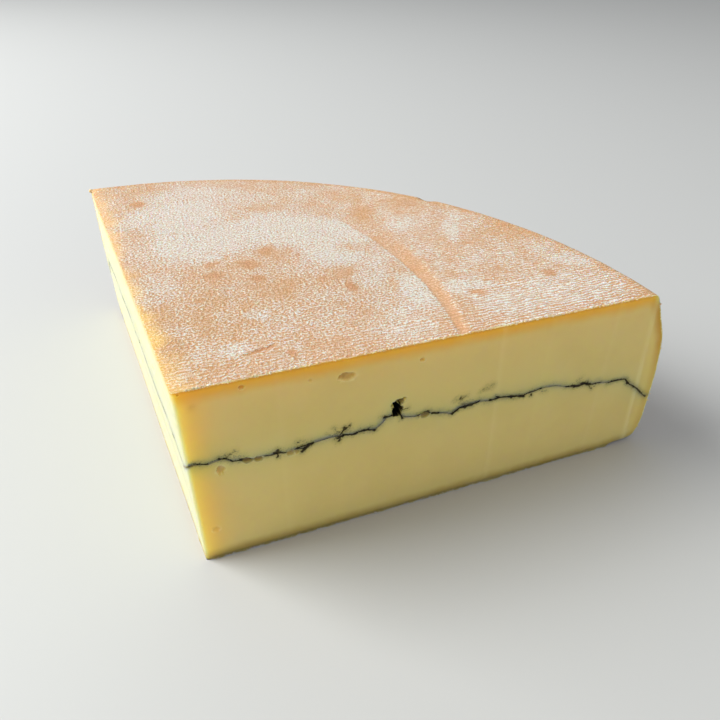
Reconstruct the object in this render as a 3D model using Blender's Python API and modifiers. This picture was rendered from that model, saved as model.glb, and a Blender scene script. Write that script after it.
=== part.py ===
"""A wedge of Morbier, a cow's milk cheese with a thin dark line of ash through the middle of its paste.

The wedge stands on its flat base. Its front cut faces -Y, its other cut faces roughly -X, and the heel, the
outside of the wheel, curves from +X round to +Y. It is made the way the real one is: a wheel is turned from
its profile, two knife cuts from the middle leave the wedge, and a wavy layer of ash parts the lower curd from
the upper one. The wheel is worked out about its own middle, and the finished wedge is then set on the centre
of its base.
"""

import math

import bmesh
import bpy
import numpy as np
from mathutils import Matrix, Vector

MM = 0.001

# Driving dimensions of the wheel and of the cuts
HEIGHT = 71.4 * MM
TOP_RADIUS = 157.4 * MM
BELLY_RADIUS = 175.5 * MM
WEDGE_ANGLE = math.radians(96.4)
WHEEL_STEPS = 144
PROFILE_STEPS = 2

# The heel from its top rim to its foot, as (distance in from the belly, height). It leans out and sags low.
HEEL_PROFILE = [
    (18.1 * MM, HEIGHT),
    (16.3 * MM, HEIGHT - 0.6 * MM),
    (14.3 * MM, HEIGHT - 3.8 * MM),
    (10.1 * MM, 59.4 * MM),
    (5.9 * MM, 50.9 * MM),
    (3.3 * MM, 40.5 * MM),
    (1.6 * MM, 30.0 * MM),
    (0.6 * MM, 18.5 * MM),
    (0.0 * MM, 11.6 * MM),
    (0.6 * MM, 5.4 * MM),
    (2.1 * MM, 2.2 * MM),
    (4.0 * MM, 1.5 * MM),
    (11.0 * MM, 1.2 * MM),
    (17.5 * MM, 0.0 * MM),
]

# The hand-moulded heel wanders in and out by a little, in waves round the wheel: (waves, depth, turn)
HEEL_WAVES = [(3, 0.45 * MM, 0.4), (7, 0.30 * MM, 2.1), (13, 0.18 * MM, 4.0)]

# A small dent in the top rim: place round the wheel, how far its middle lies outside the rim, and its sizes
DENT_ANGLE = math.radians(39.8)
DENT_OFFSET = 2.0 * MM
DENT_SIZE = (3.6 * MM, 4.6 * MM, 2.6 * MM)

# The knife leaves the front cut through the heel on a facet, turned a little away. Its hinge runs downwards.
FACET_TOP = Vector((161.7 * MM, 0.0, 61.5 * MM))
FACET_FOOT = Vector((169.0 * MM, 0.0, 5.1 * MM))
FACET_TURN = math.radians(4.5)

# The line of ash on the front cut, from the middle of the wheel to the rind, as (distance, height)
FRONT_LINE = [
    (0.0 * MM, 43.6 * MM),
    (6.0 * MM, 42.9 * MM),
    (10.5 * MM, 43.8 * MM),
    (12.8 * MM, 41.6 * MM),
    (19.0 * MM, 40.3 * MM),
    (26.6 * MM, 40.9 * MM),
    (28.5 * MM, 39.8 * MM),
    (34.5 * MM, 40.0 * MM),
    (37.0 * MM, 41.2 * MM),
    (43.7 * MM, 41.9 * MM),
    (50.0 * MM, 41.1 * MM),
    (57.9 * MM, 40.6 * MM),
    (61.8 * MM, 44.6 * MM),
    (65.2 * MM, 45.2 * MM),
    (68.2 * MM, 42.8 * MM),
    (72.8 * MM, 41.8 * MM),
    (75.9 * MM, 42.6 * MM),
    (82.0 * MM, 40.6 * MM),
    (85.1 * MM, 39.3 * MM),
    (88.0 * MM, 41.3 * MM),
    (94.8 * MM, 42.0 * MM),
    (100.0 * MM, 40.8 * MM),
    (102.2 * MM, 41.7 * MM),
    (112.9 * MM, 39.7 * MM),
    (119.9 * MM, 41.0 * MM),
    (126.0 * MM, 40.6 * MM),
    (131.6 * MM, 38.4 * MM),
    (137.2 * MM, 37.5 * MM),
    (139.1 * MM, 38.3 * MM),
    (141.8 * MM, 36.9 * MM),
    (151.0 * MM, 35.6 * MM),
    (158.5 * MM, 35.2 * MM),
    (160.5 * MM, 32.5 * MM),
    (164.9 * MM, 29.3 * MM),
    (169.0 * MM, 25.3 * MM),
    (172.6 * MM, 22.4 * MM),
]

# The same line on the other cut, which ends at the same height in the heel
LEFT_LINE = [
    (0.0 * MM, 43.6 * MM),
    (5.0 * MM, 39.6 * MM),
    (10.0 * MM, 38.7 * MM),
    (16.2 * MM, 40.6 * MM),
    (28.7 * MM, 40.6 * MM),
    (42.7 * MM, 38.2 * MM),
    (57.0 * MM, 39.2 * MM),
    (70.0 * MM, 40.6 * MM),
    (84.0 * MM, 39.5 * MM),
    (97.0 * MM, 41.0 * MM),
    (122.0 * MM, 38.2 * MM),
    (135.0 * MM, 39.0 * MM),
    (147.0 * MM, 36.8 * MM),
    (158.5 * MM, 35.2 * MM),
    (164.9 * MM, 29.3 * MM),
    (172.6 * MM, 22.4 * MM),
]

# Thickness of the ash, with the clots where it is thicker: (distance from the middle, extra, half length)
ASH_THICKNESS = 0.8 * MM
ASH_CLOTS = [
    (10.5 * MM, 0.5 * MM, 2.5 * MM),
    (43.7 * MM, 1.1 * MM, 2.5 * MM),
    (55.0 * MM, 0.5 * MM, 3.0 * MM),
    (64.5 * MM, 0.9 * MM, 3.0 * MM),
    (85.1 * MM, 0.4 * MM, 2.5 * MM),
    (139.1 * MM, 0.7 * MM, 2.5 * MM),
]

# Space between ash and curd, and half the seam between the two curds where they meet in the rind
CURD_GAP = 0.3 * MM
HALF_SEAM = 0.15 * MM

# The sheets that follow the ash fan out from a pole this far outside the tip of the wedge, so that they cross
# both cuts. Their spokes are shares of the wedge's angle, closer together near the cuts.
POLE_OFFSET = 8.0 * MM
SPOKE_SHARES = (0.0, 0.031, 0.067, 0.125, 0.21, 0.33, 0.5, 0.67, 0.79, 0.875, 0.933, 0.969, 1.0)
ASH_RINGS = [distance for distance, _ in FRONT_LINE]
CURD_RINGS = ASH_RINGS + [ASH_RINGS[-1] + 4.0 * HALF_SEAM, BELLY_RADIUS + 20.0 * MM]

# Swell of the layer inside the paste, away from both cuts
INNER_SWELL = 1.4 * MM
INNER_WAVE = 13.0 * MM

# Eyes and pockets in the front cut, by what they are in: (along the cut, height, width, height, depth)
UPPER_EYES = {
    "long_eye": (48.4 * MM, 63.6 * MM, 4.2 * MM, 2.0 * MM, 2.2 * MM),
    "round_eye": (18.2 * MM, 68.0 * MM, 1.8 * MM, 1.6 * MM, 1.6 * MM),
    "small_eye": (72.5 * MM, 64.5 * MM, 1.5 * MM, 1.2 * MM, 1.2 * MM),
    "cavity": (65.4 * MM, 47.4 * MM, 2.9 * MM, 3.2 * MM, 5.0 * MM),
    "pocket": (67.3 * MM, 49.6 * MM, 2.6 * MM, 1.6 * MM, 2.4 * MM),
}
LOWER_EYES = {
    "apex_eye": (9.2 * MM, 39.2 * MM, 2.2 * MM, 2.4 * MM, 2.0 * MM),
    "bead_eye": (17.0 * MM, 38.9 * MM, 2.0 * MM, 1.7 * MM, 1.6 * MM),
    "scoop": (5.2 * MM, 14.4 * MM, 2.8 * MM, 1.8 * MM, 1.0 * MM),
}

# Colours of the paste, rind and ash, as linear red, green, blue
PASTE_COLOUR = (0.80, 0.66, 0.30)
RIND_COLOUR = (0.74, 0.46, 0.28)
ASH_COLOUR = (0.030, 0.032, 0.028)

# How far cutters stand out past what they cut
CLEARANCE = 40.0 * MM


def front_direction():
    """Unit vector along the front cut, from the middle of the wheel outwards."""
    return Vector((1.0, 0.0, 0.0))


def left_direction():
    """Unit vector along the other cut, from the middle of the wheel outwards."""
    return Vector((math.cos(WEDGE_ANGLE), math.sin(WEDGE_ANGLE), 0.0))


def smoothstep(value):
    """0 below 0, 1 above 1, and an even S between them."""
    value = min(max(value, 0.0), 1.0)
    return value * value * (3.0 - 2.0 * value)


def line_height(line, distance):
    """Height of one of the two lines of ash at this distance from the middle."""
    return float(np.interp(distance, [at for at, _ in line], [height for _, height in line]))


def ash_height(x, y):
    """Middle of the ash layer: the front line blends into the left one, with a swell between them."""
    distance = math.hypot(x, y)
    share = min(max(math.atan2(y, x) / WEDGE_ANGLE, 0.0), 1.0)
    front = line_height(FRONT_LINE, distance)
    left = line_height(LEFT_LINE, distance)
    inside = math.sin(math.pi * share) * smoothstep((BELLY_RADIUS - distance) / CLEARANCE)
    swell = INNER_SWELL * inside * math.sin(distance / INNER_WAVE + 5.0 * share)
    return front + (left - front) * smoothstep(share) + swell


def ash_thickness(x, y):
    """Thickness of the ash layer: thin, with a soft-edged clot at each of the named places."""
    distance = math.hypot(x, y)
    clots = sum(extra * math.exp(-(((distance - at) / half) ** 2)) for at, extra, half in ASH_CLOTS)
    return ASH_THICKNESS + clots


def parting_clearance(x, y):
    """Half the opening between the curds: room for the ash, and past the end of the ash only a thin seam."""
    if math.hypot(x, y) > ASH_RINGS[-1] + 2.0 * HALF_SEAM:
        return HALF_SEAM
    return ash_thickness(x, y) / 2.0 + CURD_GAP


def new_material(name, colour, roughness):
    """Principled material of one plain colour."""
    material = bpy.data.materials.new(name)
    material.use_nodes = True
    shader = material.node_tree.nodes["Principled BSDF"]
    shader.inputs["Base Color"].default_value = (*colour, 1.0)
    shader.inputs["Roughness"].default_value = roughness
    shader.inputs["Metallic"].default_value = 0.0
    material.diffuse_color = (*colour, 1.0)
    return material


def object_from(bm, name, collection, material):
    """Object made of the bmesh, with faces that point outwards."""
    bm.normal_update()
    bmesh.ops.recalc_face_normals(bm, faces=bm.faces)
    mesh = bpy.data.meshes.new(name)
    bm.to_mesh(mesh)
    bm.free()
    mesh.materials.append(material)
    obj = bpy.data.objects.new(name, mesh)
    collection.objects.link(obj)
    return obj


def as_cutter(obj):
    """Marks the object as a helper that a render leaves out."""
    obj.hide_render = True
    obj.display_type = "WIRE"
    return obj


def evaluated_mesh(obj):
    """A new mesh of the object as its modifiers leave it."""
    graph = bpy.context.evaluated_depsgraph_get()
    return bpy.data.meshes.new_from_object(obj.evaluated_get(graph))


def smooth_through(knots, steps):
    """Points on a smooth curve through the knots, with this many steps from each knot to the next.

    Each span is a cubic Hermite curve. At an inner knot its direction is the mean of the two directions to
    the neighbouring knots, and its speed is the length of the span, so that uneven spans don't overshoot.
    """
    knots = [Vector(knot) for knot in knots]
    directions = [(there - here).normalized() for here, there in zip(knots, knots[1:])]
    tangents = [directions[0]]
    tangents += [(before + after).normalized() for before, after in zip(directions, directions[1:])]
    tangents.append(directions[-1])
    points = []
    for index in range(len(knots) - 1):
        start, end = knots[index], knots[index + 1]
        length = (end - start).length
        for step in range(steps):
            t = step / steps
            blend = t * t * (3.0 - 2.0 * t)
            leave = t * (1.0 - t) ** 2 * length
            arrive = t * t * (t - 1.0) * length
            points.append(start.lerp(end, blend) + tangents[index] * leave + tangents[index + 1] * arrive)
    points.append(knots[-1])
    return points


def turned_wheel(collection, material):
    """The whole wheel: its half profile turned once round the Z axis, then moulded by the heel's waves."""
    heel = smooth_through(HEEL_PROFILE, PROFILE_STEPS)
    points = [(0.0, 0.0, HEIGHT)]
    points += [(BELLY_RADIUS - point.x, 0.0, point.y) for point in heel]
    points.append((0.0, 0.0, 0.0))
    profile = bpy.data.meshes.new("wheel_profile")
    edges = [(index, index + 1) for index in range(len(points) - 1)]
    profile.from_pydata(points, edges, [])
    wheel = bpy.data.objects.new("wheel", profile)
    collection.objects.link(wheel)
    screw = wheel.modifiers.new("turn", "SCREW")
    screw.steps = WHEEL_STEPS
    screw.render_steps = WHEEL_STEPS
    screw.use_merge_vertices = True
    screw.merge_threshold = 0.01 * MM
    wheel.data = evaluated_mesh(wheel)
    wheel.modifiers.clear()
    for vertex in wheel.data.vertices:
        mould_heel(vertex)
    wheel.data.materials.append(material)
    return as_cutter(wheel)


def mould_heel(vertex):
    """Moves a point of the heel in or out by the waves, and leaves the flat top and base alone."""
    radius = math.hypot(vertex.co.x, vertex.co.y)
    if radius < TOP_RADIUS or vertex.co.z < HALF_SEAM:
        return
    angle = math.atan2(vertex.co.y, vertex.co.x)
    wave = sum(depth * math.sin(count * angle + turn) for count, depth, turn in HEEL_WAVES)
    scale = 1.0 + wave * smoothstep((radius - TOP_RADIUS) / (4.0 * MM)) / radius
    vertex.co.x *= scale
    vertex.co.y *= scale


def knife_box(name, outward, collection, material):
    """Box that takes away everything on the outward side of an upright cut through the middle of the wheel."""
    reach = BELLY_RADIUS + CLEARANCE
    up = Vector((0.0, 0.0, 1.0))
    bm = bmesh.new()
    bmesh.ops.create_cube(bm, size=1.0)
    size = Matrix.Diagonal((2.0 * reach, reach, HEIGHT + 2.0 * CLEARANCE, 1.0))
    turn = Matrix((outward.cross(up), outward, up)).transposed().to_4x4()
    place = Matrix.Translation(outward * (reach / 2.0) + Vector((0.0, 0.0, HEIGHT / 2.0)))
    bm.transform(place @ turn @ size)
    return as_cutter(object_from(bm, name, collection, material))


def facet_box(collection, material):
    """Box on the far side of the facet's plane, which hinges on the line from its top to its foot."""
    up = (FACET_TOP - FACET_FOOT).normalized()
    inward = Vector((0.0, 1.0, 0.0))
    level = inward.cross(up)
    if level.x < 0.0:
        level.negate()
    across = level * math.cos(FACET_TURN) + inward * math.sin(FACET_TURN)
    outward = level * math.sin(FACET_TURN) - inward * math.cos(FACET_TURN)
    width = 1.2 * CLEARANCE
    bm = bmesh.new()
    bmesh.ops.create_cube(bm, size=1.0)
    size = Matrix.Diagonal((CLEARANCE, width, HEIGHT + 2.0 * CLEARANCE, 1.0))
    turn = Matrix((outward, across, up)).transposed().to_4x4()
    middle = (FACET_TOP + FACET_FOOT) / 2.0 + across * (width / 3.0) + outward * (CLEARANCE / 2.0)
    bm.transform(Matrix.Translation(middle) @ turn @ size)
    return as_cutter(object_from(bm, "facet_knife", collection, material))


def ash_sheet(bm, rings, lift):
    """Fan-shaped sheet that follows the ash layer through these rings, raised by lift(x, y).

    It is a loft between the two unlike lines of ash. Each spoke starts where it passes the tip of the wedge,
    so that its rings lie at the distances from the middle of the wheel at which the lines are known.
    """
    bisector = (front_direction() + left_direction()).normalized()
    pole = -POLE_OFFSET * bisector
    rows = []
    for share in SPOKE_SHARES:
        angle = share * WEDGE_ANGLE
        spoke = Vector((math.cos(angle), math.sin(angle), 0.0))
        start = pole + spoke * POLE_OFFSET * spoke.dot(bisector)
        row = [start + spoke * ring for ring in rings]
        rows.append([bm.verts.new((p.x, p.y, ash_height(p.x, p.y) + lift(p.x, p.y))) for p in row])
    centre = bm.verts.new((pole.x, pole.y, ash_height(0.0, 0.0) + lift(0.0, 0.0)))
    for row, next_row in zip(rows, rows[1:]):
        bm.faces.new((centre, row[0], next_row[0]))
        for index in range(len(rings) - 1):
            bm.faces.new((row[index], row[index + 1], next_row[index + 1], next_row[index]))


def curd_block(name, side, collection, material):
    """Closed block from below the base up to the parting surface, above (1) or below (-1) the ash."""
    bm = bmesh.new()
    ash_sheet(bm, CURD_RINGS, lambda x, y: side * parting_clearance(x, y))
    rim = [edge for edge in bm.edges if edge.is_boundary]
    skirt = bmesh.ops.extrude_edge_only(bm, edges=rim)["geom"]
    for item in skirt:
        if isinstance(item, bmesh.types.BMVert):
            item.co.z = -CLEARANCE
    foot = [item for item in skirt if isinstance(item, bmesh.types.BMEdge) and item.is_boundary]
    bmesh.ops.contextual_create(bm, geom=foot)
    return as_cutter(object_from(bm, name, collection, material))


def ash_solid(collection, material):
    """The ash layer itself, which stops inside the rind: its top sheet, drawn down by its thickness."""
    bm = bmesh.new()
    ash_sheet(bm, ASH_RINGS, lambda x, y: ash_thickness(x, y) / 2.0)
    drawn = bmesh.ops.extrude_face_region(bm, geom=bm.faces[:])["geom"]
    for item in drawn:
        if isinstance(item, bmesh.types.BMVert):
            item.co.z -= ash_thickness(item.co.x, item.co.y)
    return object_from(bm, "ash_layer", collection, material)


def eye_cutter(name, eye, collection, material):
    """Ellipsoid centred on the front cut, where a bubble in the paste was sliced open."""
    along, height, width, tall, depth = eye
    bm = bmesh.new()
    bmesh.ops.create_uvsphere(bm, u_segments=10, v_segments=6, radius=0.5)
    size = Matrix.Diagonal((width, 2.0 * depth, tall, 1.0))
    bm.transform(Matrix.Translation((along, 0.1 * depth, height)) @ size)
    return as_cutter(object_from(bm, name, collection, material))


def dent_cutter(collection, material):
    """Ellipsoid that presses a small dent into the top rim."""
    bm = bmesh.new()
    bmesh.ops.create_uvsphere(bm, u_segments=12, v_segments=8, radius=1.0)
    distance = TOP_RADIUS + DENT_OFFSET
    place = Matrix.Translation((0.0, 0.0, HEIGHT)) @ Matrix.Rotation(DENT_ANGLE, 4, "Z")
    size = Matrix.Diagonal((*DENT_SIZE, 1.0))
    bm.transform(place @ Matrix.Translation((distance, 0.0, 0.0)) @ size)
    return as_cutter(object_from(bm, "rim_dent", collection, material))


def cut(obj, cutter, operation="DIFFERENCE"):
    """Boolean on obj. The faces that it opens take the cutter's material."""
    boolean = obj.modifiers.new(cutter.name, "BOOLEAN")
    boolean.operation = operation
    boolean.object = cutter
    boolean.solver = "EXACT"
    boolean.material_mode = "TRANSFER"


def curd(name, wheel, cuts, block, operation, eyes, collection, helpers, material):
    """One of the two curds: the wheel, parted at the ash, cut to the wedge and opened by its eyes."""
    obj = bpy.data.objects.new(name, wheel.data.copy())
    collection.objects.link(obj)
    cut(obj, block, operation)
    for knife in cuts:
        cut(obj, knife)
    for eye_name, eye in eyes.items():
        cut(obj, eye_cutter(eye_name, eye, helpers, material))
    return obj


def stand_on_centre(parts, helpers):
    """Parents parts and knives to an empty that puts the centre of the wedge's base at the origin."""
    corners = []
    for obj in parts:
        mesh = evaluated_mesh(obj)
        corners += [obj.matrix_world @ vertex.co for vertex in mesh.vertices]
        bpy.data.meshes.remove(mesh)
    middle_x = (min(p.x for p in corners) + max(p.x for p in corners)) / 2.0
    middle_y = (min(p.y for p in corners) + max(p.y for p in corners)) / 2.0
    wheel_middle = bpy.data.objects.new("wheel_middle", None)
    parts[0].users_collection[0].objects.link(wheel_middle)
    wheel_middle.location = (-middle_x, -middle_y, 0.0)
    for obj in parts + list(helpers.objects):
        obj.parent = wheel_middle


def main():
    """Clears the scene and builds the wedge."""
    for obj in list(bpy.data.objects):
        bpy.data.objects.remove(obj)
    cheese = bpy.data.collections.new("morbier_wedge")
    helpers = bpy.data.collections.new("knives_and_guides")
    for collection in (cheese, helpers):
        bpy.context.scene.collection.children.link(collection)
    paste = new_material("paste", PASTE_COLOUR, 0.45)
    rind = new_material("rind", RIND_COLOUR, 0.85)
    ash = new_material("ash", ASH_COLOUR, 0.90)

    wheel = turned_wheel(helpers, rind)
    up = Vector((0.0, 0.0, 1.0))
    front_knife = knife_box("front_knife", front_direction().cross(up), helpers, paste)
    left_knife = knife_box("left_knife", up.cross(left_direction()), helpers, paste)
    knives = [front_knife, left_knife, facet_box(helpers, paste)]
    dent = dent_cutter(helpers, rind)
    under_upper = curd_block("under_upper", 1.0, helpers, paste)
    under_lower = curd_block("under_lower", -1.0, helpers, paste)

    lower = curd(
        "lower_half", wheel, knives, under_lower, "INTERSECT", LOWER_EYES, cheese, helpers, paste
    )
    upper = curd(
        "upper_half", wheel, knives + [dent], under_upper, "DIFFERENCE", UPPER_EYES, cheese, helpers, paste
    )
    layer = ash_solid(cheese, ash)
    for knife in knives:
        cut(layer, knife)
    bpy.context.view_layer.update()
    stand_on_centre([lower, upper, layer], helpers)


main()
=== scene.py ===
"""Looks of a wedge of Morbier: two curds with their rind, the ash between them, and what the knife left.

Every shape is worked out in millimetres about the middle of the wheel, the sharp tip of the wedge, and moved
into the frame when it becomes a mesh. The front cut is the plane y = 0, the other cut leaves it by the
wedge's angle, and the heel is the outside of the wheel.
"""

from __future__ import annotations

import logging
import math
from collections.abc import Callable
from dataclasses import dataclass
from enum import Enum

import bmesh
import bpy
import numpy as np
from mathutils import Matrix, Vector


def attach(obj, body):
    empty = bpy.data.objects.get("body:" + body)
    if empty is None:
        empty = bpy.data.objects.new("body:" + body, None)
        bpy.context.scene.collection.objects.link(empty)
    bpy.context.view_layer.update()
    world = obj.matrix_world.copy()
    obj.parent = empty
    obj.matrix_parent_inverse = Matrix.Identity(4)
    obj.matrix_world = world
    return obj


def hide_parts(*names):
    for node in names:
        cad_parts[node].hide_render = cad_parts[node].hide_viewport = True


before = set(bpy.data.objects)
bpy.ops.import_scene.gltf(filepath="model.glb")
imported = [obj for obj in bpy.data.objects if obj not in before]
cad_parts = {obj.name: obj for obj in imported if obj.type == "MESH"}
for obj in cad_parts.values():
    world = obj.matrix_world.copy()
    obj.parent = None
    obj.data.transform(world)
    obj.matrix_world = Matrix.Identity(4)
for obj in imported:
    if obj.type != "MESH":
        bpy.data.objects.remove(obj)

MM = 0.001
LOG = logging.getLogger("morbier")

# How near a cut's plane its points lie, in millimetres, and a distance well outside any eye or facet.
ON_CUT = 1e-3
OUTSIDE = 9.0

# Millimetres for each unit of the print's map, and where the heel's part of the map starts.
PRINT_UNIT = 100.0
HEEL_ASIDE = 300.0

Array = np.ndarray
Table = tuple[tuple[float, ...], ...]
Colour = tuple[float, float, float, float]
Socket = bpy.types.NodeSocket
Mesh = bpy.types.Mesh
Object = bpy.types.Object
Material = bpy.types.Material
NodeTree = bpy.types.NodeTree


def smoothstep(low: float, high: float, value: Array) -> Array:
    """An even S from 0 at low to 1 at high: t * t * (3 - 2 t), with t the share of the way, kept in 0 to 1.

    Args:
        low: Value at which the result is 0.
        high: Value at which the result is 1. It may lie below low, which turns the S round.
        value: Values to map.

    Returns:
        The mapped values.
    """
    share = np.clip((np.asarray(value, float) - low) / (high - low), 0.0, 1.0)
    return share * share * (3.0 - 2.0 * share)


def bell(offset: Array, half_width: float | Array) -> Array:
    """A bell curve: e to the power of -d * d, with d the offset over the half width."""
    return np.exp(-((offset / half_width) ** 2))


def lattice_noise(x: Array, y: Array | float, z: Array | float, seed: int) -> Array:
    """Smooth noise from -1 to 1: each lattice point has a value by a fixed hash, blended by an even S.

    Args:
        x: First coordinate, in cells.
        y: Second coordinate, in cells.
        z: Third coordinate, in cells.
        seed: Chooses another field.

    Returns:
        The noise, with the shape of the broadcast coordinates.
    """
    x, y, z = np.broadcast_arrays(np.asarray(x, float), np.asarray(y, float), np.asarray(z, float))
    base = [np.floor(axis).astype(np.int64) for axis in (x, y, z)]
    part = [axis - low for axis, low in zip((x, y, z), base)]
    ease = [share * share * (3.0 - 2.0 * share) for share in part]
    total = np.zeros(x.shape)
    for corner in range(8):
        step = [(corner >> axis) & 1 for axis in range(3)]
        key = (base[0] + step[0]) * 73856093 ^ (base[1] + step[1]) * 19349663
        key = key ^ (base[2] + step[2]) * 83492791 ^ (seed + 1) * 2654435761
        key = (key ^ (key >> 13)) * 1274126177 & 0xFFFFFFFF
        key = (key ^ (key >> 16)) & 0xFFFF
        weight = np.ones(x.shape)
        for axis in range(3):
            weight = weight * (ease[axis] if step[axis] else 1.0 - ease[axis])
        total += weight * (key / 32767.5 - 1.0)
    return total


def fractal_noise(x: Array, y: Array, z: Array | float, cell: float, octaves: int, seed: int) -> Array:
    """Sum of noises, each with half the cell and half the height of the one before, scaled back to about 1.

    Args:
        x: First coordinate, in mm.
        y: Second coordinate, in mm.
        z: Third coordinate, in mm.
        cell: Size of the largest cells, in mm.
        octaves: How many noises are added.
        seed: Chooses another field.

    Returns:
        The noise, roughly from -1 to 1.
    """
    total = 0.0
    reach = 0.0
    for octave in range(octaves):
        share = 0.5**octave
        scale = 1.0 / (cell * share)
        total = total + share * lattice_noise(x * scale, y * scale, z * scale, seed + 17 * octave)
        reach += share
    return total / reach


def graded_steps(steps: int, finest: float = 0.36, reach: float = 0.022) -> Array:
    """Values from 0 to 1 whose steps are shorter at both ends, where the edges of the cheese are.

    A step's length is 1 less a bell curve about each end, and the running sum is scaled to end at 1.

    Args:
        steps: How many steps.
        finest: Length of the end steps over that of the others.
        reach: Half width of the bell curves, as a share of the whole.

    Returns:
        The values, steps + 1 of them.
    """
    middle = (np.arange(steps) + 0.5) / steps
    ends = bell(middle, reach) + bell(1.0 - middle, reach)
    lengths = 1.0 - (1.0 - finest) * ends
    return np.concatenate([[0.0], np.cumsum(lengths) / lengths.sum()])


@dataclass(frozen=True)
class WheelForm:
    """Form of the wheel, of the two cuts and of the ash, in millimetres about the middle of the wheel.

    Attributes:
        height: Height of the wheel.
        belly: Radius where the heel bulges most.
        top_radius: Radius of the top rim.
        cut_angle: Angle between the two cuts, in radians.
        heel: The heel from its top rim to its foot, as (distance in from the belly, height).
        waves: Wandering of the heel round the wheel, as (waves, depth, turn).
        dent: Middle of the dent in the top rim, as (turn round the wheel, distance from the wheel's middle).
        dent_radii: Its radii outwards, round the wheel and upwards.
        front_line: Ash on the front cut, as (distance from the tip, height).
        left_line: Ash on the other cut, in the same way.
        swell: Height of the ash's swell inside the paste.
        swell_wave: Length of its waves, over 2 pi.
        swell_fade: How far inside the heel it has its full height.
        steps_out: Grid steps along the front cut.
        steps_in: Grid steps along the other cut.
        ash_guess: Height from which a point's place on the ash is sought.
        ash_rounds: Rounds that the search takes.
    """

    height: float = 71.4
    belly: float = 175.5
    top_radius: float = 157.4
    cut_angle: float = math.radians(96.4)
    heel: Table = (
        (18.1, 71.4), (16.3, 70.8), (14.3, 67.6), (10.1, 59.4), (5.9, 50.9), (3.3, 40.5), (1.6, 30.0),
        (0.6, 18.5), (0.0, 11.6), (0.6, 5.4), (2.1, 2.2), (4.0, 1.5), (11.0, 1.2), (17.5, 0.0),
    )
    waves: tuple[tuple[int, float, float], ...] = ((3, 0.45, 0.4), (7, 0.30, 2.1), (13, 0.18, 4.0))
    front_line: Table = (
        (0.0, 43.6), (2.0, 43.9), (6.0, 42.8), (10.5, 43.8), (12.5, 41.8), (15.8, 41.2), (18.7, 40.3),
        (21.4, 40.8), (24.4, 40.3), (26.6, 40.9), (28.4, 39.8), (31.5, 40.5), (34.5, 40.0),
        (36.9, 41.2), (40.6, 41.6), (43.7, 41.9), (46.3, 41.4), (49.9, 41.1), (55.1, 41.3),
        (57.9, 40.6), (60.3, 42.5), (61.7, 44.6), (65.2, 45.2), (68.2, 42.8), (72.8, 41.8),
        (75.9, 42.6), (78.7, 41.2), (82.0, 40.6), (85.1, 39.3), (88.0, 41.3), (91.9, 41.5),
        (94.8, 42.0), (100.0, 40.8), (102.2, 41.7), (107.8, 40.3), (112.9, 39.7), (116.0, 40.1),
        (119.9, 41.0), (125.9, 40.6), (131.6, 38.4), (137.2, 37.5), (139.1, 38.3), (141.8, 36.9),
        (145.8, 36.6), (151.1, 35.5), (154.3, 35.5), (158.5, 35.2), (160.5, 32.5), (164.9, 29.3),
        (169.0, 25.3), (172.6, 22.4),
    )
    left_line: Table = (
        (0.0, 43.6), (5.0, 39.6), (10.0, 38.7), (16.2, 40.6), (28.7, 40.6), (42.7, 38.2), (57.0, 39.2),
        (70.0, 40.6), (84.0, 39.5), (97.0, 41.0), (122.0, 38.2), (135.0, 39.0), (147.0, 36.8),
        (158.5, 35.2), (164.9, 29.3), (172.6, 22.4),
    )
    dent: tuple[float, float] = (math.radians(39.8), 159.4)
    dent_radii: tuple[float, float, float] = (3.6, 4.6, 2.6)
    swell: float = 1.4
    swell_wave: float = 13.0
    swell_fade: float = 40.0
    steps_out: int = 184
    steps_in: int = 138
    ash_guess: float = 40.0
    ash_rounds: int = 8

    def smooth_heel(self, steps: int = 8) -> tuple[Array, Array]:
        """Heel profile with steps points from each knot to the next.

        Each span is a cubic Hermite curve whose direction at an inner knot is the mean of the two directions
        to its neighbours and whose speed is the span's length.

        Args:
            steps: Points added per span.

        Returns:
            Distances in from the belly and heights, by rising height.
        """
        knots = np.array(self.heel)
        spans = np.diff(knots, axis=0)
        lengths = np.hypot(spans[:, 0], spans[:, 1])[:, None]
        directions = spans / lengths
        inner = directions[:-1] + directions[1:]
        inner /= np.hypot(inner[:, 0], inner[:, 1])[:, None]
        tangents = np.vstack([directions[:1], inner, directions[-1:]])
        t = (np.arange(steps) / steps)[None, :, None]
        blend = t * t * (3.0 - 2.0 * t)
        leave = t * (1.0 - t) ** 2 * lengths[:, None]
        arrive = t * t * (t - 1.0) * lengths[:, None]
        points = knots[:-1, None] * (1.0 - blend) + knots[1:, None] * blend
        points = points + tangents[:-1, None] * leave + tangents[1:, None] * arrive
        points = np.vstack([points.reshape(-1, 2), knots[-1:]])[::-1]
        return points[:, 0], points[:, 1]

    def heel_radius(self, height: Array, turn: Array) -> Array:
        """Radius of the wheel: the belly less the smooth profile's inset, plus the waves round the wheel.

        Args:
            height: Heights above the base.
            turn: Angles round the wheel from the front cut, in radians.

        Returns:
            The radii.
        """
        insets, heights = self.smooth_heel()
        radius = self.belly - np.interp(height, heights, insets)
        wave = sum(depth * np.sin(count * turn + phase) for count, depth, phase in self.waves)
        return radius + wave * smoothstep(0.0, 4.0, radius - self.top_radius)

    def ash_height(self, x: Array, y: Array) -> Array:
        """Middle of the ash layer: the front line blends into the other one, with a swell between them.

        Args:
            x: Distances along the front cut.
            y: Distances in from the front cut.

        Returns:
            The heights.
        """
        distance = np.hypot(x, y)
        share = np.clip(np.arctan2(y, x) / self.cut_angle, 0.0, 1.0)
        front = np.interp(distance, *np.array(self.front_line).T)
        left = np.interp(distance, *np.array(self.left_line).T)
        inside = np.sin(math.pi * share) * smoothstep(0.0, self.swell_fade, self.belly - distance)
        swell = self.swell * inside * np.sin(distance / self.swell_wave + 5.0 * share)
        return front + (left - front) * smoothstep(0.0, 1.0, share) + swell

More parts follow.
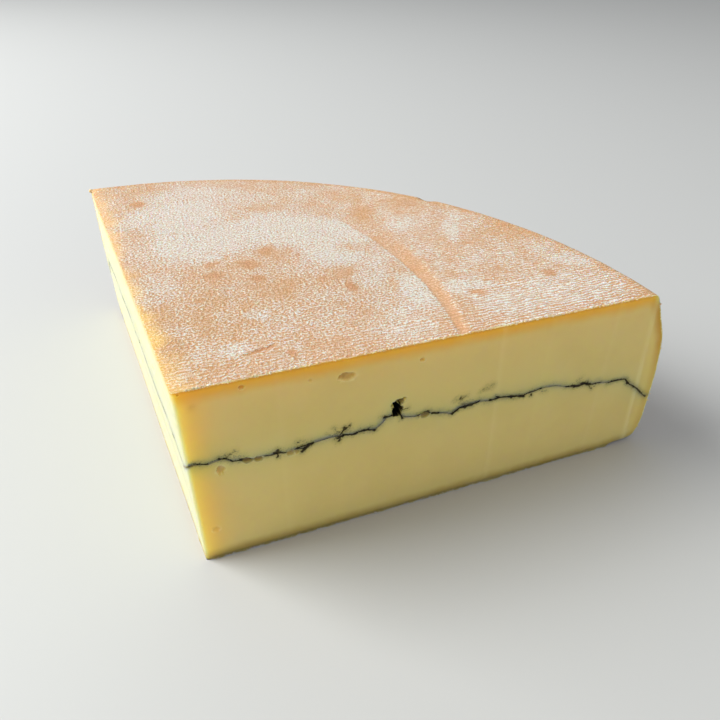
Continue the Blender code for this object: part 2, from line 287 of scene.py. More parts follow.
    def sector(self) -> tuple[Array, Array]:
        """Grid over the wedge as shares of the radius and angles round the wheel.

        A square of two parameters a and b goes onto a quarter disc by x = a sqrt(1 - b b / 2) and
        y = b sqrt(1 - a a / 2), whose angle is then stretched to the wedge's. The side b = 0 is the front
        cut, a = 0 is the other cut, and a = 1 and b = 1 together are the heel.

        Returns:
            Shares of the radius and angles, each of steps_out + 1 by steps_in + 1.
        """
        a = graded_steps(self.steps_out)[:, None]
        b = graded_steps(self.steps_in)[None, :]
        x = a * np.sqrt(1.0 - b * b / 2.0)
        y = b * np.sqrt(1.0 - a * a / 2.0)
        turn = np.arctan2(y, x) * self.cut_angle / (math.pi / 2.0)
        turn[0, 1:] = self.cut_angle
        return np.hypot(x, y), turn

    def place(self, share: Array, turn: Array, height: Array) -> tuple[Array, Array]:
        """Points of the grid at a height: the share of the wheel's radius there, at the angle.

        Args:
            share: Shares of the radius.
            turn: Angles round the wheel.
            height: Heights above the base.

        Returns:
            x and y.
        """
        radius = share * self.heel_radius(height, turn)
        x = radius * np.cos(turn)
        y = radius * np.sin(turn)
        return x, np.where(turn == 0.0, 0.0, y)

    def press_dent(self, points: Array) -> Array:
        """Pushes the points inside the rim's dent away from its middle, onto its ellipsoid.

        Args:
            points: Points with x, y and z last.

        Returns:
            The points, changed only inside the dent.
        """
        dent_turn, dent_out = self.dent
        radius = np.hypot(points[..., 0], points[..., 1])
        out = radius - dent_out
        across = radius * (np.arctan2(points[..., 1], points[..., 0]) - dent_turn)
        up = points[..., 2] - self.height
        parts = zip((out, across, up), self.dent_radii)
        reach = np.sqrt(sum((part / size) ** 2 for part, size in parts))
        push = 1.0 / np.clip(reach, 0.12, 1.0)
        radius = dent_out + out * push
        turn = dent_turn + across * push / np.maximum(radius, 1.0)
        pushed = np.stack([radius * np.cos(turn), radius * np.sin(turn), self.height + up * push], axis=-1)
        return np.where((reach < 1.0)[..., None], pushed, points)

    def on_ash(self, share: Array, turn: Array, lift: Callable[[Array, Array], Array]) -> Array:
        """Points of the grid on the ash layer, raised by lift.

        Height and radius depend on each other there, so the two are worked out in turn until they settle.

        Args:
            share: Shares of the radius.
            turn: Angles round the wheel.
            lift: Height over the middle of the ash, as a function of x and y.

        Returns:
            Points, with a last axis of x, y and z.
        """
        height = np.full(share.shape, self.ash_guess)
        for _ in range(self.ash_rounds):
            x, y = self.place(share, turn, height)
            height = self.ash_height(x, y) + lift(x, y)
        x, y = self.place(share, turn, height)
        return np.stack([x, y, height], axis=-1)


@dataclass(frozen=True)
class AshForm:
    """The ash layer: how thick it is, and how it smears into the paste at the cuts, in millimetres.

    Attributes:
        thickness: Thickness away from clots and gaps.
        clots: Thicker places, as (distance from the tip, extra, half length).
        clot_share: Share of each clot's extra that is built.
        gaps: Places where the layer is nearly closed, as (distance from the tip, half length).
        rind_start: Distance from the middle at which the layer begins to thin out.
        rind_end: Distance at which it has ended.
        overlap: How far the curds run into each other where the layer has ended.
        strokes: Ash smeared on the front cut, as (from x, from z, to x, to z, half width, darkness).
        left_strokes: Ash smeared on the other cut, in the same way.
        line_half: Half width of the line on the front cut.
        faint_half: Half width of the fainter line on the other cut.
        haze_half: Half width of the haze round the line.
        haze_rise: How far over the line the haze has its middle.
        corner_half: Half width of the haze at the tip's corner.
        corner_haze: Strength of that haze.
    """

    thickness: float = 0.16
    clots: Table = (
        (4.0, 0.10, 1.6),
        (10.3, 0.30, 1.3),
        (16.0, 0.20, 1.2),
        (26.3, 0.25, 1.3),
        (34.8, 0.45, 1.7),
        (46.5, 0.75, 1.0),
        (54.7, 0.60, 2.2),
        (62.0, 0.30, 1.2),
        (74.8, 0.45, 1.4),
        (90.5, 0.60, 2.4),
        (102.0, 0.30, 2.4),
        (109.8, 0.45, 3.0),
        (134.5, 0.25, 2.2),
        (138.8, 0.90, 0.9),
        (144.0, 0.25, 1.5),
        (154.0, 0.40, 3.0),
        (159.6, 0.40, 1.2),
        (168.0, 0.15, 4.0),
    )
    clot_share: float = 0.65
    gaps: Table = (
        (0.0, 2.2),
        (7.6, 1.0),
        (19.6, 1.8),
        (30.6, 1.2),
        (59.2, 1.2),
        (96.5, 1.6),
        (129.0, 2.2),
        (148.2, 1.4),
    )
    rind_start: float = 170.0
    rind_end: float = 173.2
    overlap: float = 0.02
    strokes: Table = (
        (2.4, 44.3, 4.0, 43.9, 0.26, 0.75),
        (4.2, 43.5, 5.9, 43.2, 0.36, 0.7),
        (5.9, 43.3, 9.4, 44.1, 0.12, 0.4),
        (9.3, 44.1, 11.4, 43.6, 0.50, 0.95),
        (11.4, 44.2, 14.1, 45.5, 0.26, 0.45),
        (11.4, 43.2, 12.9, 42.0, 0.26, 0.8),
        (12.9, 41.8, 16.9, 41.5, 0.20, 0.8),
        (15.2, 41.7, 16.9, 41.5, 0.36, 0.9),
        (22.5, 40.8, 29.4, 40.2, 0.20, 0.65),
        (26.4, 42.0, 26.6, 39.2, 0.28, 0.8),
        (25.4, 41.0, 27.0, 40.5, 0.36, 0.85),
        (32.2, 40.8, 37.5, 41.4, 0.28, 1.0),
        (35.9, 40.7, 33.8, 38.9, 0.48, 1.0),
        (32.6, 43.0, 33.1, 43.1, 0.30, 0.6),
        (34.2, 42.9, 34.5, 43.0, 0.26, 0.45),
        (45.3, 40.9, 47.2, 41.3, 0.72, 1.0),
        (46.2, 42.0, 49.0, 44.8, 0.22, 0.85),
        (46.9, 42.0, 47.6, 44.6, 0.24, 0.8),
        (45.9, 42.3, 44.1, 45.5, 0.22, 0.5),
        (44.9, 41.8, 42.0, 43.4, 0.20, 0.4),
        (47.5, 41.4, 50.2, 40.8, 0.30, 0.9),
        (46.2, 40.8, 45.8, 39.4, 0.34, 0.8),
        (50.2, 40.8, 53.1, 41.5, 0.22, 0.95),
        (53.1, 41.4, 55.6, 41.4, 0.42, 1.0),
        (55.0, 41.2, 57.8, 40.5, 0.32, 1.0),
        (60.9, 44.7, 64.4, 45.1, 0.32, 0.9),
        (59.3, 45.6, 61.2, 44.9, 0.30, 0.35),
        (66.3, 44.6, 67.2, 42.6, 0.26, 0.9),
        (66.6, 46.1, 68.8, 46.4, 0.18, 0.55),
        (72.8, 42.3, 74.5, 42.9, 0.34, 0.95),
        (74.5, 42.9, 76.6, 42.7, 0.36, 1.0),
        (77.8, 41.6, 80.6, 41.1, 0.26, 0.9),
        (85.3, 39.2, 87.8, 40.9, 0.32, 1.0),
        (87.8, 41.1, 92.8, 40.9, 0.42, 1.0),
        (88.8, 42.5, 92.2, 41.9, 0.46, 0.45),
        (92.8, 41.3, 95.3, 42.0, 0.28, 0.95),
        (86.2, 44.9, 88.1, 45.2, 0.30, 0.75),
        (88.1, 44.4, 90.0, 45.7, 0.18, 0.55),
        (95.0, 46.1, 96.6, 47.0, 0.20, 0.5),
        (96.9, 46.9, 99.7, 47.3, 0.24, 0.8),
        (97.2, 48.0, 99.0, 48.2, 0.14, 0.4),
        (99.4, 41.3, 105.6, 41.2, 0.34, 0.9),
        (101.6, 42.3, 103.8, 41.4, 0.26, 0.8),
        (105.6, 40.9, 110.0, 40.2, 0.34, 1.0),
        (108.1, 40.2, 113.1, 39.4, 0.40, 1.0),
        (113.1, 40.0, 119.9, 41.0, 0.20, 0.85),
        (115.9, 39.4, 116.3, 38.6, 0.28, 0.8),
        (120.6, 39.5, 122.5, 39.3, 0.50, 0.35),
        (130.6, 38.9, 136.9, 38.0, 0.26, 0.8),
        (134.4, 37.7, 137.2, 37.7, 0.28, 0.8),
        (135.0, 40.2, 136.9, 41.2, 0.34, 0.3),
        (137.8, 38.3, 139.8, 38.2, 0.72, 1.0),
        (139.8, 37.7, 142.2, 36.8, 0.50, 1.0),
        (141.3, 36.4, 143.1, 34.6, 0.34, 0.5),
        (143.1, 35.4, 144.4, 35.5, 0.26, 0.35),
        (142.2, 36.9, 146.3, 36.8, 0.26, 0.9),
        (150.3, 35.3, 151.9, 35.7, 0.38, 0.9),
        (151.9, 35.8, 157.8, 35.4, 0.28, 0.95),
        (158.2, 35.3, 159.7, 33.3, 0.34, 1.0),
        (159.4, 33.2, 161.3, 32.0, 0.30, 0.95),
        (161.3, 31.9, 166.3, 28.4, 0.18, 0.8),
        (166.3, 28.4, 172.8, 22.3, 0.22, 0.85),
        (9.2, 44.6, 12.4, 44.8, 0.90, 0.34),
        (13.6, 43.4, 16.4, 42.8, 0.60, 0.26),
        (25.2, 41.4, 28.0, 41.2, 0.70, 0.32),
        (33.4, 41.6, 37.2, 42.0, 0.80, 0.32),
        (44.6, 42.8, 48.4, 43.4, 1.30, 0.36),
        (52.8, 42.2, 56.4, 42.0, 0.70, 0.26),
        (88.4, 42.8, 92.4, 42.2, 0.90, 0.34),
        (136.4, 38.8, 140.0, 38.2, 1.10, 0.40),
    )
    left_strokes: Table = (
        (18.6, 39.6, 20.8, 39.0, 0.30, 0.90),
        (30.0, 40.3, 34.0, 39.7, 0.34, 0.80),
        (46.0, 38.3, 51.0, 38.7, 0.26, 0.70),
        (60.0, 39.5, 66.0, 40.3, 0.34, 0.80),
        (69.5, 41.0, 71.0, 43.4, 0.24, 0.50),
        (84.0, 39.6, 86.2, 37.9, 0.28, 0.60),
        (94.0, 40.7, 99.0, 40.8, 0.42, 0.90),
        (110.0, 39.6, 116.0, 38.9, 0.34, 0.80),
        (118.0, 40.4, 121.0, 41.2, 0.26, 0.40),
        (130.0, 38.7, 137.0, 38.7, 0.38, 0.80),
        (144.0, 37.3, 149.0, 36.6, 0.26, 0.70),
        (158.5, 35.0, 164.9, 29.2, 0.28, 0.80),
        (164.9, 29.2, 172.2, 22.6, 0.22, 0.80),
    )
    line_half: float = 0.22
    faint_half: float = 0.36
    haze_half: float = 1.9
    haze_rise: float = 0.3
    corner_half: float = 0.6
    corner_haze: float = 0.55

    def at(self, x: Array, y: Array) -> Array:
        """Thickness at x and y: the plain one varied by noise, plus soft-edged clots, less the gaps.

        The layer closes at the tip, is thin up to some way from it, and breaks up on the other cut.

        Args:
            x: Distances along the front cut.
            y: Distances in from the front cut.

        Returns:
            The thicknesses, below zero where the curds meet.
        """
        distance = np.hypot(x, y)
        patchy = 0.5 + 0.5 * fractal_noise(x, y, 0.0, 6.0, 3, 5)
        thickness = self.thickness * (0.2 + 1.3 * patchy)
        for at, extra, half in self.clots:
            clot = self.clot_share * extra * bell(distance - at, half)
            thickness = thickness + clot * (0.5 + 0.7 * patchy)
        for at, half in self.gaps:
            thickness = thickness * (1.0 - 0.9 * np.exp(-(((distance - at) / half) ** 4)))
        thickness = thickness * (0.35 + 0.65 * smoothstep(2.0, 34.0, distance))
        thickness = thickness * smoothstep(0.5, 4.5, distance)
        breaks = smoothstep(-0.25, 0.35, fractal_noise(x, y, 0.0, 9.0, 3, 7))
        near_left = smoothstep(1.2, 1.6, np.arctan2(y, x))
        thickness = thickness * (1.0 - 0.85 * near_left * (1.0 - breaks))
        fade = smoothstep(self.rind_end, self.rind_start, distance)
        return thickness * fade - self.overlap * (1.0 - fade)

    def smear(self, x: Array, z: Array, strokes: Table) -> tuple[Array, Array]:
        """Ash smeared on a cut: for each stroke a round-ended bar with a ragged, soft edge.

        Args:
            x: Distances from the tip.
            z: Heights above the base.
            strokes: The strokes of this cut.

        Returns:
            Darkness of the ash itself and of the grey halo round it, each from 0 to 1.
        """
        ragged_x = x + 0.36 * fractal_noise(x, z, 0.0, 1.1, 3, 91)
        ragged_z = z + 0.36 * fractal_noise(x, z, 0.0, 1.1, 3, 92)
        swelling = np.maximum(0.72 + 0.95 * fractal_noise(x, z, 0.0, 1.6, 2, 93), 0.3)
        ink = np.zeros(x.shape)
        halo = np.zeros(x.shape)
        for from_x, from_z, to_x, to_z, half, dark in strokes:
            along_x, along_z = to_x - from_x, to_z - from_z
            share = (ragged_x - from_x) * along_x + (ragged_z - from_z) * along_z
            share = np.clip(share / (along_x**2 + along_z**2), 0.0, 1.0)
            away = np.hypot(ragged_x - from_x - share * along_x, ragged_z - from_z - share * along_z)
            ink = np.maximum(ink, dark * smoothstep(2.3, 0.0, away / (half * swelling + 0.07)))
            halo = np.maximum(halo, dark * bell(away, half + 0.9))
        return ink, halo


@dataclass(frozen=True)
class KnifeForm:
    """What the knife left on the two cuts, in millimetres.

    Attributes:
        cut_angle: Angle between the cuts, in radians.
        height: Height of the wheel.
        facet_top: Upper end of the hinge line of the facet at the heel, on the front cut.
        facet_foot: Lower end of that line.
        facet_turn: How far the facet turns in, in radians.
        marks: Marks across the front cut, as (x at the top, x at the foot, step, paleness).
        front_relief: Depth of the front cut's wander and strokes, and height of the ridge at its hinge.
        left_relief: Depth of the other cut's wander and strokes, and height of its ridge.
        gold_spot: A golden spot on the front cut, as (distance from the tip, height, radius).
        gold_strength: Strength of that spot, from 0 to 1.
        tip_round: Radius of the worn upright edge at the tip.
        reach: How far behind a cut its unevenness fades out in the faces that meet it.
    """

    cut_angle: float
    height: float
    facet_top: tuple[float, float] = (161.7, 61.5)
    facet_foot: tuple[float, float] = (169.0, 5.1)
    facet_turn: float = math.radians(5.5)
    marks: Table = (
        (27.3, 27.6, 0.02, 0.15),
        (99.3, 103.6, 0.06, 0.42),
        (118.0, 119.5, -0.02, 0.1),
        (143.8, 147.4, 0.03, 0.22),
    )
    front_relief: tuple[float, float, float] = (0.10, 0.03, 0.12)
    left_relief: tuple[float, float, float] = (0.16, 0.06, 0.18)
    gold_spot: tuple[float, float, float] = (4.6, 65.0, 1.2)
    gold_strength: float = 0.34
    tip_round: float = 0.8
    reach: float = 6.0

    @property
    def left_inward(self) -> tuple[float, float]:
        """Unit vector into the cheese from the other cut."""
        return math.sin(self.cut_angle), -math.cos(self.cut_angle)

    def on_cuts(self, points: Array) -> tuple[tuple[Array, Array, tuple[float, float]], ...]:
        """Where points lie to the front cut and to the other one.

        Args:
            points: Points with x, y and z last.

        Returns:
            For each cut the distances along it and behind it, and its unit vector into the cheese.
        """
        x, y = points[..., 0], points[..., 1]
        in_x, in_y = self.left_inward
        along = x * math.cos(self.cut_angle) + y * math.sin(self.cut_angle)
        return (x, y, (0.0, 1.0)), (along, x * in_x + y * in_y, (in_x, in_y))

    def past_facet(self, along: Array, height: Array) -> Array:
        """Distance past the facet's hinge line, towards the heel.

        Args:
            along: Distances from the tip.
            height: Heights above the base.

        Returns:
            The distances, below zero on the flat part of the cut.
        """
        (top_x, top_z), (foot_x, foot_z) = self.facet_top, self.facet_foot
        lean = (foot_x - top_x) / (top_z - foot_z)
        return (along - (top_x + (top_z - height) * lean)) / math.hypot(1.0, lean)

    def past_mark(self, along: Array, height: Array, mark: tuple[float, ...]) -> Array:
        """Distance past a mark, which runs straight from its x at the top to its x at the foot."""
        return along - (mark[1] + (mark[0] - mark[1]) * height / self.height)

    def front_depth(self, along: Array, height: Array) -> Array:
        """Depth of the front cut: slow wander, leaning strokes, steps at the marks, hinge ridge and facet.

        Args:
            along: Distances from the tip.
            height: Heights above the base.

        Returns:
            Depths into the cheese.
        """
        wander_depth, stroke_depth, ridge_height = self.front_relief
        leaning = along + 0.06 * height
        wander = wander_depth * fractal_noise(along, height, 0.0, 38.0, 2, 51)
        strokes = stroke_depth * fractal_noise(leaning, 0.04 * height, 0.0, 7.0, 3, 52)
        depth = (wander + strokes) * smoothstep(0.0, 4.0, along)
        for mark in self.marks:
            depth = depth + mark[2] * smoothstep(-0.7, 0.7, self.past_mark(along, height, mark))
        past = self.past_facet(along, height)
        ridge = ridge_height * bell(past + 0.5, 0.7)
        return depth - ridge + np.maximum(past, 0.0) * math.tan(self.facet_turn)

    def left_depth(self, along: Array, height: Array) -> Array:
        """Depth of the other cut: slow wander, leaning strokes and a low ridge that runs down near the tip.

        Args:
            along: Distances from the tip.
            height: Heights above the base.

        Returns:
            Depths into the cheese.
        """
        wander_depth, stroke_depth, ridge_height = self.left_relief
        leaning = along + 0.10 * height
        wander = wander_depth * fractal_noise(along, height, 0.0, 34.0, 2, 61)
        strokes = stroke_depth * fractal_noise(leaning, 0.04 * height, 0.0, 6.0, 3, 62)
        ridge = ridge_height * bell(leaning - 9.0, 1.1)
        return (wander + strokes - ridge) * smoothstep(0.0, 4.0, along)

    def paleness(self, along: Array, height: Array) -> Array:
        """Lighter stripes on the front cut: one past each of the marks, and a painted highlight along the
        facet's hinge.

        Args:
            along: Distances from the tip.
            height: Heights above the base.

        Returns:
            Strength of the stripes, from 0 to 1.
        """
        total = np.zeros(np.shape(along))
        for mark in self.marks:
            past = self.past_mark(along, height, mark)
            total = total + mark[3] * smoothstep(-0.4, 0.4, past) * bell(past - 0.5, 1.4)
        past = self.past_facet(along, height)
        # Painted highlight along the facet's hinge, where its rounded edge would catch the light.
        painted_hinge_highlight = smoothstep(-2.4, -0.9, past) * smoothstep(0.4, -0.3, past)
        return total + painted_hinge_highlight * (0.7 + 0.6 * smoothstep(46.0, 34.0, height))

    def worn_edge(self, distance: Array) -> tuple[Array, Array]:
        """Moves a cut's points near the tip onto a quarter turn about the upright edge.

        Args:
            distance: Distances from the tip along a cut.

        Returns:
            Moves along the cut and into the cheese.
        """
        angle = math.pi / 4.0 * np.clip(1.0 - distance / self.tip_round, 0.0, 1.0)
        along = np.where(distance < self.tip_round, self.tip_round * (1.0 - np.sin(angle)) - distance, 0.0)
        return along, self.tip_round * (1.0 - np.cos(angle))

    def press(self, points: Array) -> Array:
        """Moves points in by the depth of the cut they are on, and less and less up to reach behind it.

        Each cut's move is shared out by how far round from the front cut to the other one a point lies.

        Args:
            points: Points with x, y and z last, those on the cuts on their planes.

        Returns:
            The moved points.
        """
        x, y, z = points[..., 0], points[..., 1], points[..., 2]
        out_x, out_y = math.cos(self.cut_angle), math.sin(self.cut_angle)
        left_along, left_behind, (in_x, in_y) = self.on_cuts(points)[1]
        left_along = np.maximum(left_along, 0.0)
        side = smoothstep(0.3, 0.7, np.arctan2(y, x) / self.cut_angle)
        near_front = np.clip(1.0 - y / self.reach, 0.0, 1.0) ** 2 * (1.0 - side)
        near_left = np.clip(1.0 - left_behind / self.reach, 0.0, 1.0) ** 2 * side
        front_shift, front_worn = self.worn_edge(np.maximum(x, 0.0))
        left_shift, left_worn = self.worn_edge(left_along)
        front_in = front_worn + self.front_depth(x, z)
        left_in = left_worn + self.left_depth(left_along, z)
        moved_x = x + near_front * front_shift + near_left * (left_shift * out_x + left_in * in_x)
        moved_y = y + near_front * front_in + near_left * (left_shift * out_y + left_in * in_y)
        return np.stack([moved_x, moved_y, z], axis=-1)


@dataclass(frozen=True)
class Eye:
    """A bubble in the paste that a cut sliced open, in millimetres.

    Attributes:
        along: Distance from the tip.
        height: Height above the base.
        half_width: Half its width.
        half_height: Half its height.
        depth: How deep it goes into the cut.
        tilt: Turn of its long axis above the level, in radians.
        pit_shade: Strength of the painted shade inside it, darkest on the side away from the light, from 0 to
            1.
        soot: How far ash blackens its lining, from 0 to 1.
    """

    along: float
    height: float
    half_width: float
    half_height: float
    depth: float
    tilt: float = 0.0
    pit_shade: float = 0.7
    soot: float = 0.0

    def reach(self, along: Array, height: Array) -> Array:
        """Distance from the eye's middle over its own radius, 1 at its rim, which noise makes uneven.

        Args:
            along: Distances from the tip.
            height: Heights above the base.

        Returns:
            The shares, above 1 outside.
        """
        u = (along - self.along) * math.cos(self.tilt) + (height - self.height) * math.sin(self.tilt)
        v = (height - self.height) * math.cos(self.tilt) - (along - self.along) * math.sin(self.tilt)
        wobble = 1.0 + 0.18 * lattice_noise(along / 0.8, height / 0.8, 0.0, 31)
        return np.hypot(u / self.half_width, v / self.half_height) / wobble


FRONT_EYES = (
    Eye(48.4, 64.2, 2.7, 1.45, 1.1, math.radians(-5.0), 0.75),
    Eye(18.1, 68.2, 0.85, 0.85, 0.9, 0.0, 0.9),
    Eye(37.4, 65.6, 0.6, 0.5, 0.3, 0.0, 0.35),
    Eye(72.4, 64.5, 0.9, 0.8, 0.7, 0.0, 0.7),
    Eye(65.2, 46.5, 1.75, 2.4, 4.6, math.radians(4.0), 1.0, 1.0),
    Eye(65.3, 49.6, 2.0, 1.3, 2.4, math.radians(14.0), 1.0, 0.62),
    Eye(67.2, 50.6, 0.9, 0.7, 1.4, math.radians(40.0), 0.8, 0.25),
    Eye(9.2, 39.5, 1.3, 1.8, 1.0, math.radians(-12.0), 0.45),
    Eye(17.3, 40.7, 1.4, 1.2, 1.1, 0.0, 0.7, 0.40),
    Eye(20.6, 40.2, 1.25, 1.2, 1.0, 0.0, 0.6, 0.30),
    Eye(30.4, 39.4, 1.3, 1.1, 0.7, 0.0, 0.45, 0.12),
    Eye(32.5, 39.3, 0.7, 0.9, 0.5, 0.0, 0.4, 0.10),
    Eye(75.3, 41.7, 1.5, 1.1, 0.9, 0.0, 0.7, 0.40),
    Eye(1.7, 69.9, 0.35, 0.35, 0.3, 0.0, 0.8, 0.2),
    Eye(5.0, 13.9, 1.3, 0.9, 0.35, math.radians(12.0), 0.3),
)


LEFT_EYES = (
    Eye(38.0, 53.0, 1.7, 1.1, 0.9, math.radians(6.0), 0.75),
    Eye(61.5, 60.8, 0.8, 0.7, 0.6, 0.0, 0.7),
    Eye(74.0, 41.6, 1.4, 1.1, 0.9, 0.0, 0.7, 0.40),
    Eye(88.5, 23.5, 2.0, 1.3, 1.0, math.radians(-8.0), 0.7),
    Eye(112.0, 38.2, 1.2, 1.0, 0.8, 0.0, 0.6, 0.30),
    Eye(124.0, 57.2, 1.1, 0.9, 0.7, 0.0, 0.7),
    Eye(52.0, 14.6, 0.7, 0.6, 0.5, 0.0, 0.6),
    Eye(139.0, 19.0, 1.3, 1.0, 0.8, math.radians(10.0), 0.6),
)


def open_eyes(points: Array, moved: Array, knife: KnifeForm) -> Array:
    """Opens the eyes: each goes in by its depth times (1 - r * r) to a power, and fades out behind the cut.

    Args:
        points: Points with x, y and z last, before the cuts are pressed.
        moved: The same points after it.
        knife: Where the cuts run.

    Returns:
        The moved points with the eyes in them.
    """
    total = np.zeros(points.shape)
    for (along, behind, inward), eyes in zip(knife.on_cuts(points), (FRONT_EYES, LEFT_EYES)):
        depth = np.zeros(along.shape)
        for eye in eyes:
            inside = np.clip(1.0 - eye.reach(along, points[..., 2]) ** 2, 0.0, 1.0)
            near = np.clip(1.0 - behind / (2.5 * eye.depth), 0.0, 1.0)
            depth = np.maximum(depth, eye.depth * inside**0.42 * near)
        total = total + depth[..., None] * np.array((*inward, 0.0))
    return moved + total


class Half(Enum):
    """Which of the two curds is built."""

    UPPER = 1.0
    LOWER = -1.0


@dataclass(frozen=True)
class Placement:
    """Moves points from the wheel's middle, in millimetres, into the frame, in metres.

    Attributes:
        tip: Where the frame has the foot of the wedge's tip, in metres.
    """

    tip: tuple[float, float, float]

    @classmethod
    def from_frame(cls, node: str) -> Placement:
        """Finds the tip as the corner of this node's base that lies furthest to -X on the front cut.

        Args:
            node: The CAD node that stands on the base.

        Returns:
            The placement.
        """
        points = read_points(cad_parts[node].data)
        front = points[:, 1].min()
        foot = points[(points[:, 1] < front + 0.05 * MM) & (points[:, 2] < 0.05 * MM)]
        return cls((float(foot[:, 0].min()), float(front), 0.0))

    def to_frame(self, points: Array) -> Array:
        """Points in metres in the frame, from points in millimetres about the wheel's middle."""
        return points * MM + np.array(self.tip)

    def from_mesh(self, mesh: Mesh) -> Array:
        """Points of a mesh in millimetres about the wheel's middle."""
        return (read_points(mesh) - np.array(self.tip)) / MM


def ring_of(index: Array) -> Array:
    """Border of a grid of indices: out along b = 0, round by a = 1 and b = 1, and back along a = 0."""
    return np.concatenate([index[:, 0], index[-1, 1:], index[-2::-1, -1], index[0, -2:0:-1]])


def grid_faces(index: Array) -> Array:
    """Four-sided faces of a grid of indices, facing the way a turned onto b points.

    Args:
        index: Indices, of two axes.

    Returns:
        Faces, four indices each.
    """
    corners = (index[:-1, :-1], index[1:, :-1], index[1:, 1:], index[:-1, 1:])
    return np.stack([corner.reshape(-1) for corner in corners], axis=1)


def closed_wall(rings: list[Array]) -> Array:
    """Faces that join rings of indices, each to the next one and round to its own start."""
    wall = np.vstack(rings)
    return grid_faces(np.hstack([wall, wall[:, :1]]).T)


def add_object(name: str, data: bpy.types.ID) -> Object:
    """A new object with this data, linked to the scene."""
    obj = bpy.data.objects.new(name, data)
    bpy.context.scene.collection.objects.link(obj)
    return obj


def mesh_object(
    name: str, points: Array, faces: Array, place: Placement, materials: list[Material]
) -> Object:
    """Object at the origin, made of points and faces.

    Args:
        name: Name of the piece.
        points: Points in millimetres about the wheel's middle.
        faces: Faces, three or four indices each.
        place: Moves the points into the frame.
        materials: Its materials, by slot.

    Returns:
        The object, linked to the scene.
    """
    mesh = bpy.data.meshes.new(name)
    sides = faces.shape[1]
    mesh.vertices.add(len(points))
    mesh.vertices.foreach_set("co", place.to_frame(points).astype(np.float32).reshape(-1))
    mesh.loops.add(faces.size)
    mesh.loops.foreach_set("vertex_index", faces.astype(np.int32).reshape(-1))
    mesh.polygons.add(len(faces))
    mesh.polygons.foreach_set("loop_start", np.arange(0, faces.size, sides, dtype=np.int32))
    mesh.update(calc_edges=True)
    for material in materials:
        mesh.materials.append(material)
    return add_object(name, mesh)


def read_points(mesh: Mesh) -> Array:
    """Vertex positions of a mesh, one row each."""
    points = np.empty(len(mesh.vertices) * 3)
    mesh.vertices.foreach_get("co", points)
    return points.reshape(-1, 3)


def write_points(mesh: Mesh, points: Array) -> None:
    """Sets the vertex positions of a mesh, one row each."""
    mesh.vertices.foreach_set("co", points.astype(np.float32).reshape(-1))
    mesh.update()


def write_attributes(mesh: Mesh, values: dict[str, Array]) -> None:
    """Stores numbers for each vertex, by their names."""
    for name, numbers in values.items():
        attribute = mesh.attributes.new(name, "FLOAT", "POINT")
        attribute.data.foreach_set("value", np.ascontiguousarray(numbers, dtype=np.float32))


def shade(obj: Object, angle: float = 38.0) -> None:
    """Shades smooth, with edges sharper than the angle kept sharp."""
    obj.data.shade_smooth()
    obj.data.set_sharp_from_angle(angle=math.radians(angle))


def soft_ellipses(x: Array, y: Array, ellipses: Table) -> Array:
    """Sum of soft ellipses, each exp(-d^4) of the distance d over its own radius.

    Args:
        x: First coordinates.
        y: Second coordinates.
        ellipses: Each as (x, y, half length, half width, turn, strength).

    Returns:
        The sum.
    """
    total = np.zeros(np.shape(x))
    for at_x, at_y, long_half, wide_half, turn, strength in ellipses:
        u = (x - at_x) * math.cos(turn) + (y - at_y) * math.sin(turn)
        v = (y - at_y) * math.cos(turn) - (x - at_x) * math.sin(turn)
        square = (u / long_half) ** 2 + (v / wide_half) ** 2
        total = total + strength * np.exp(-(square**2))
    return total


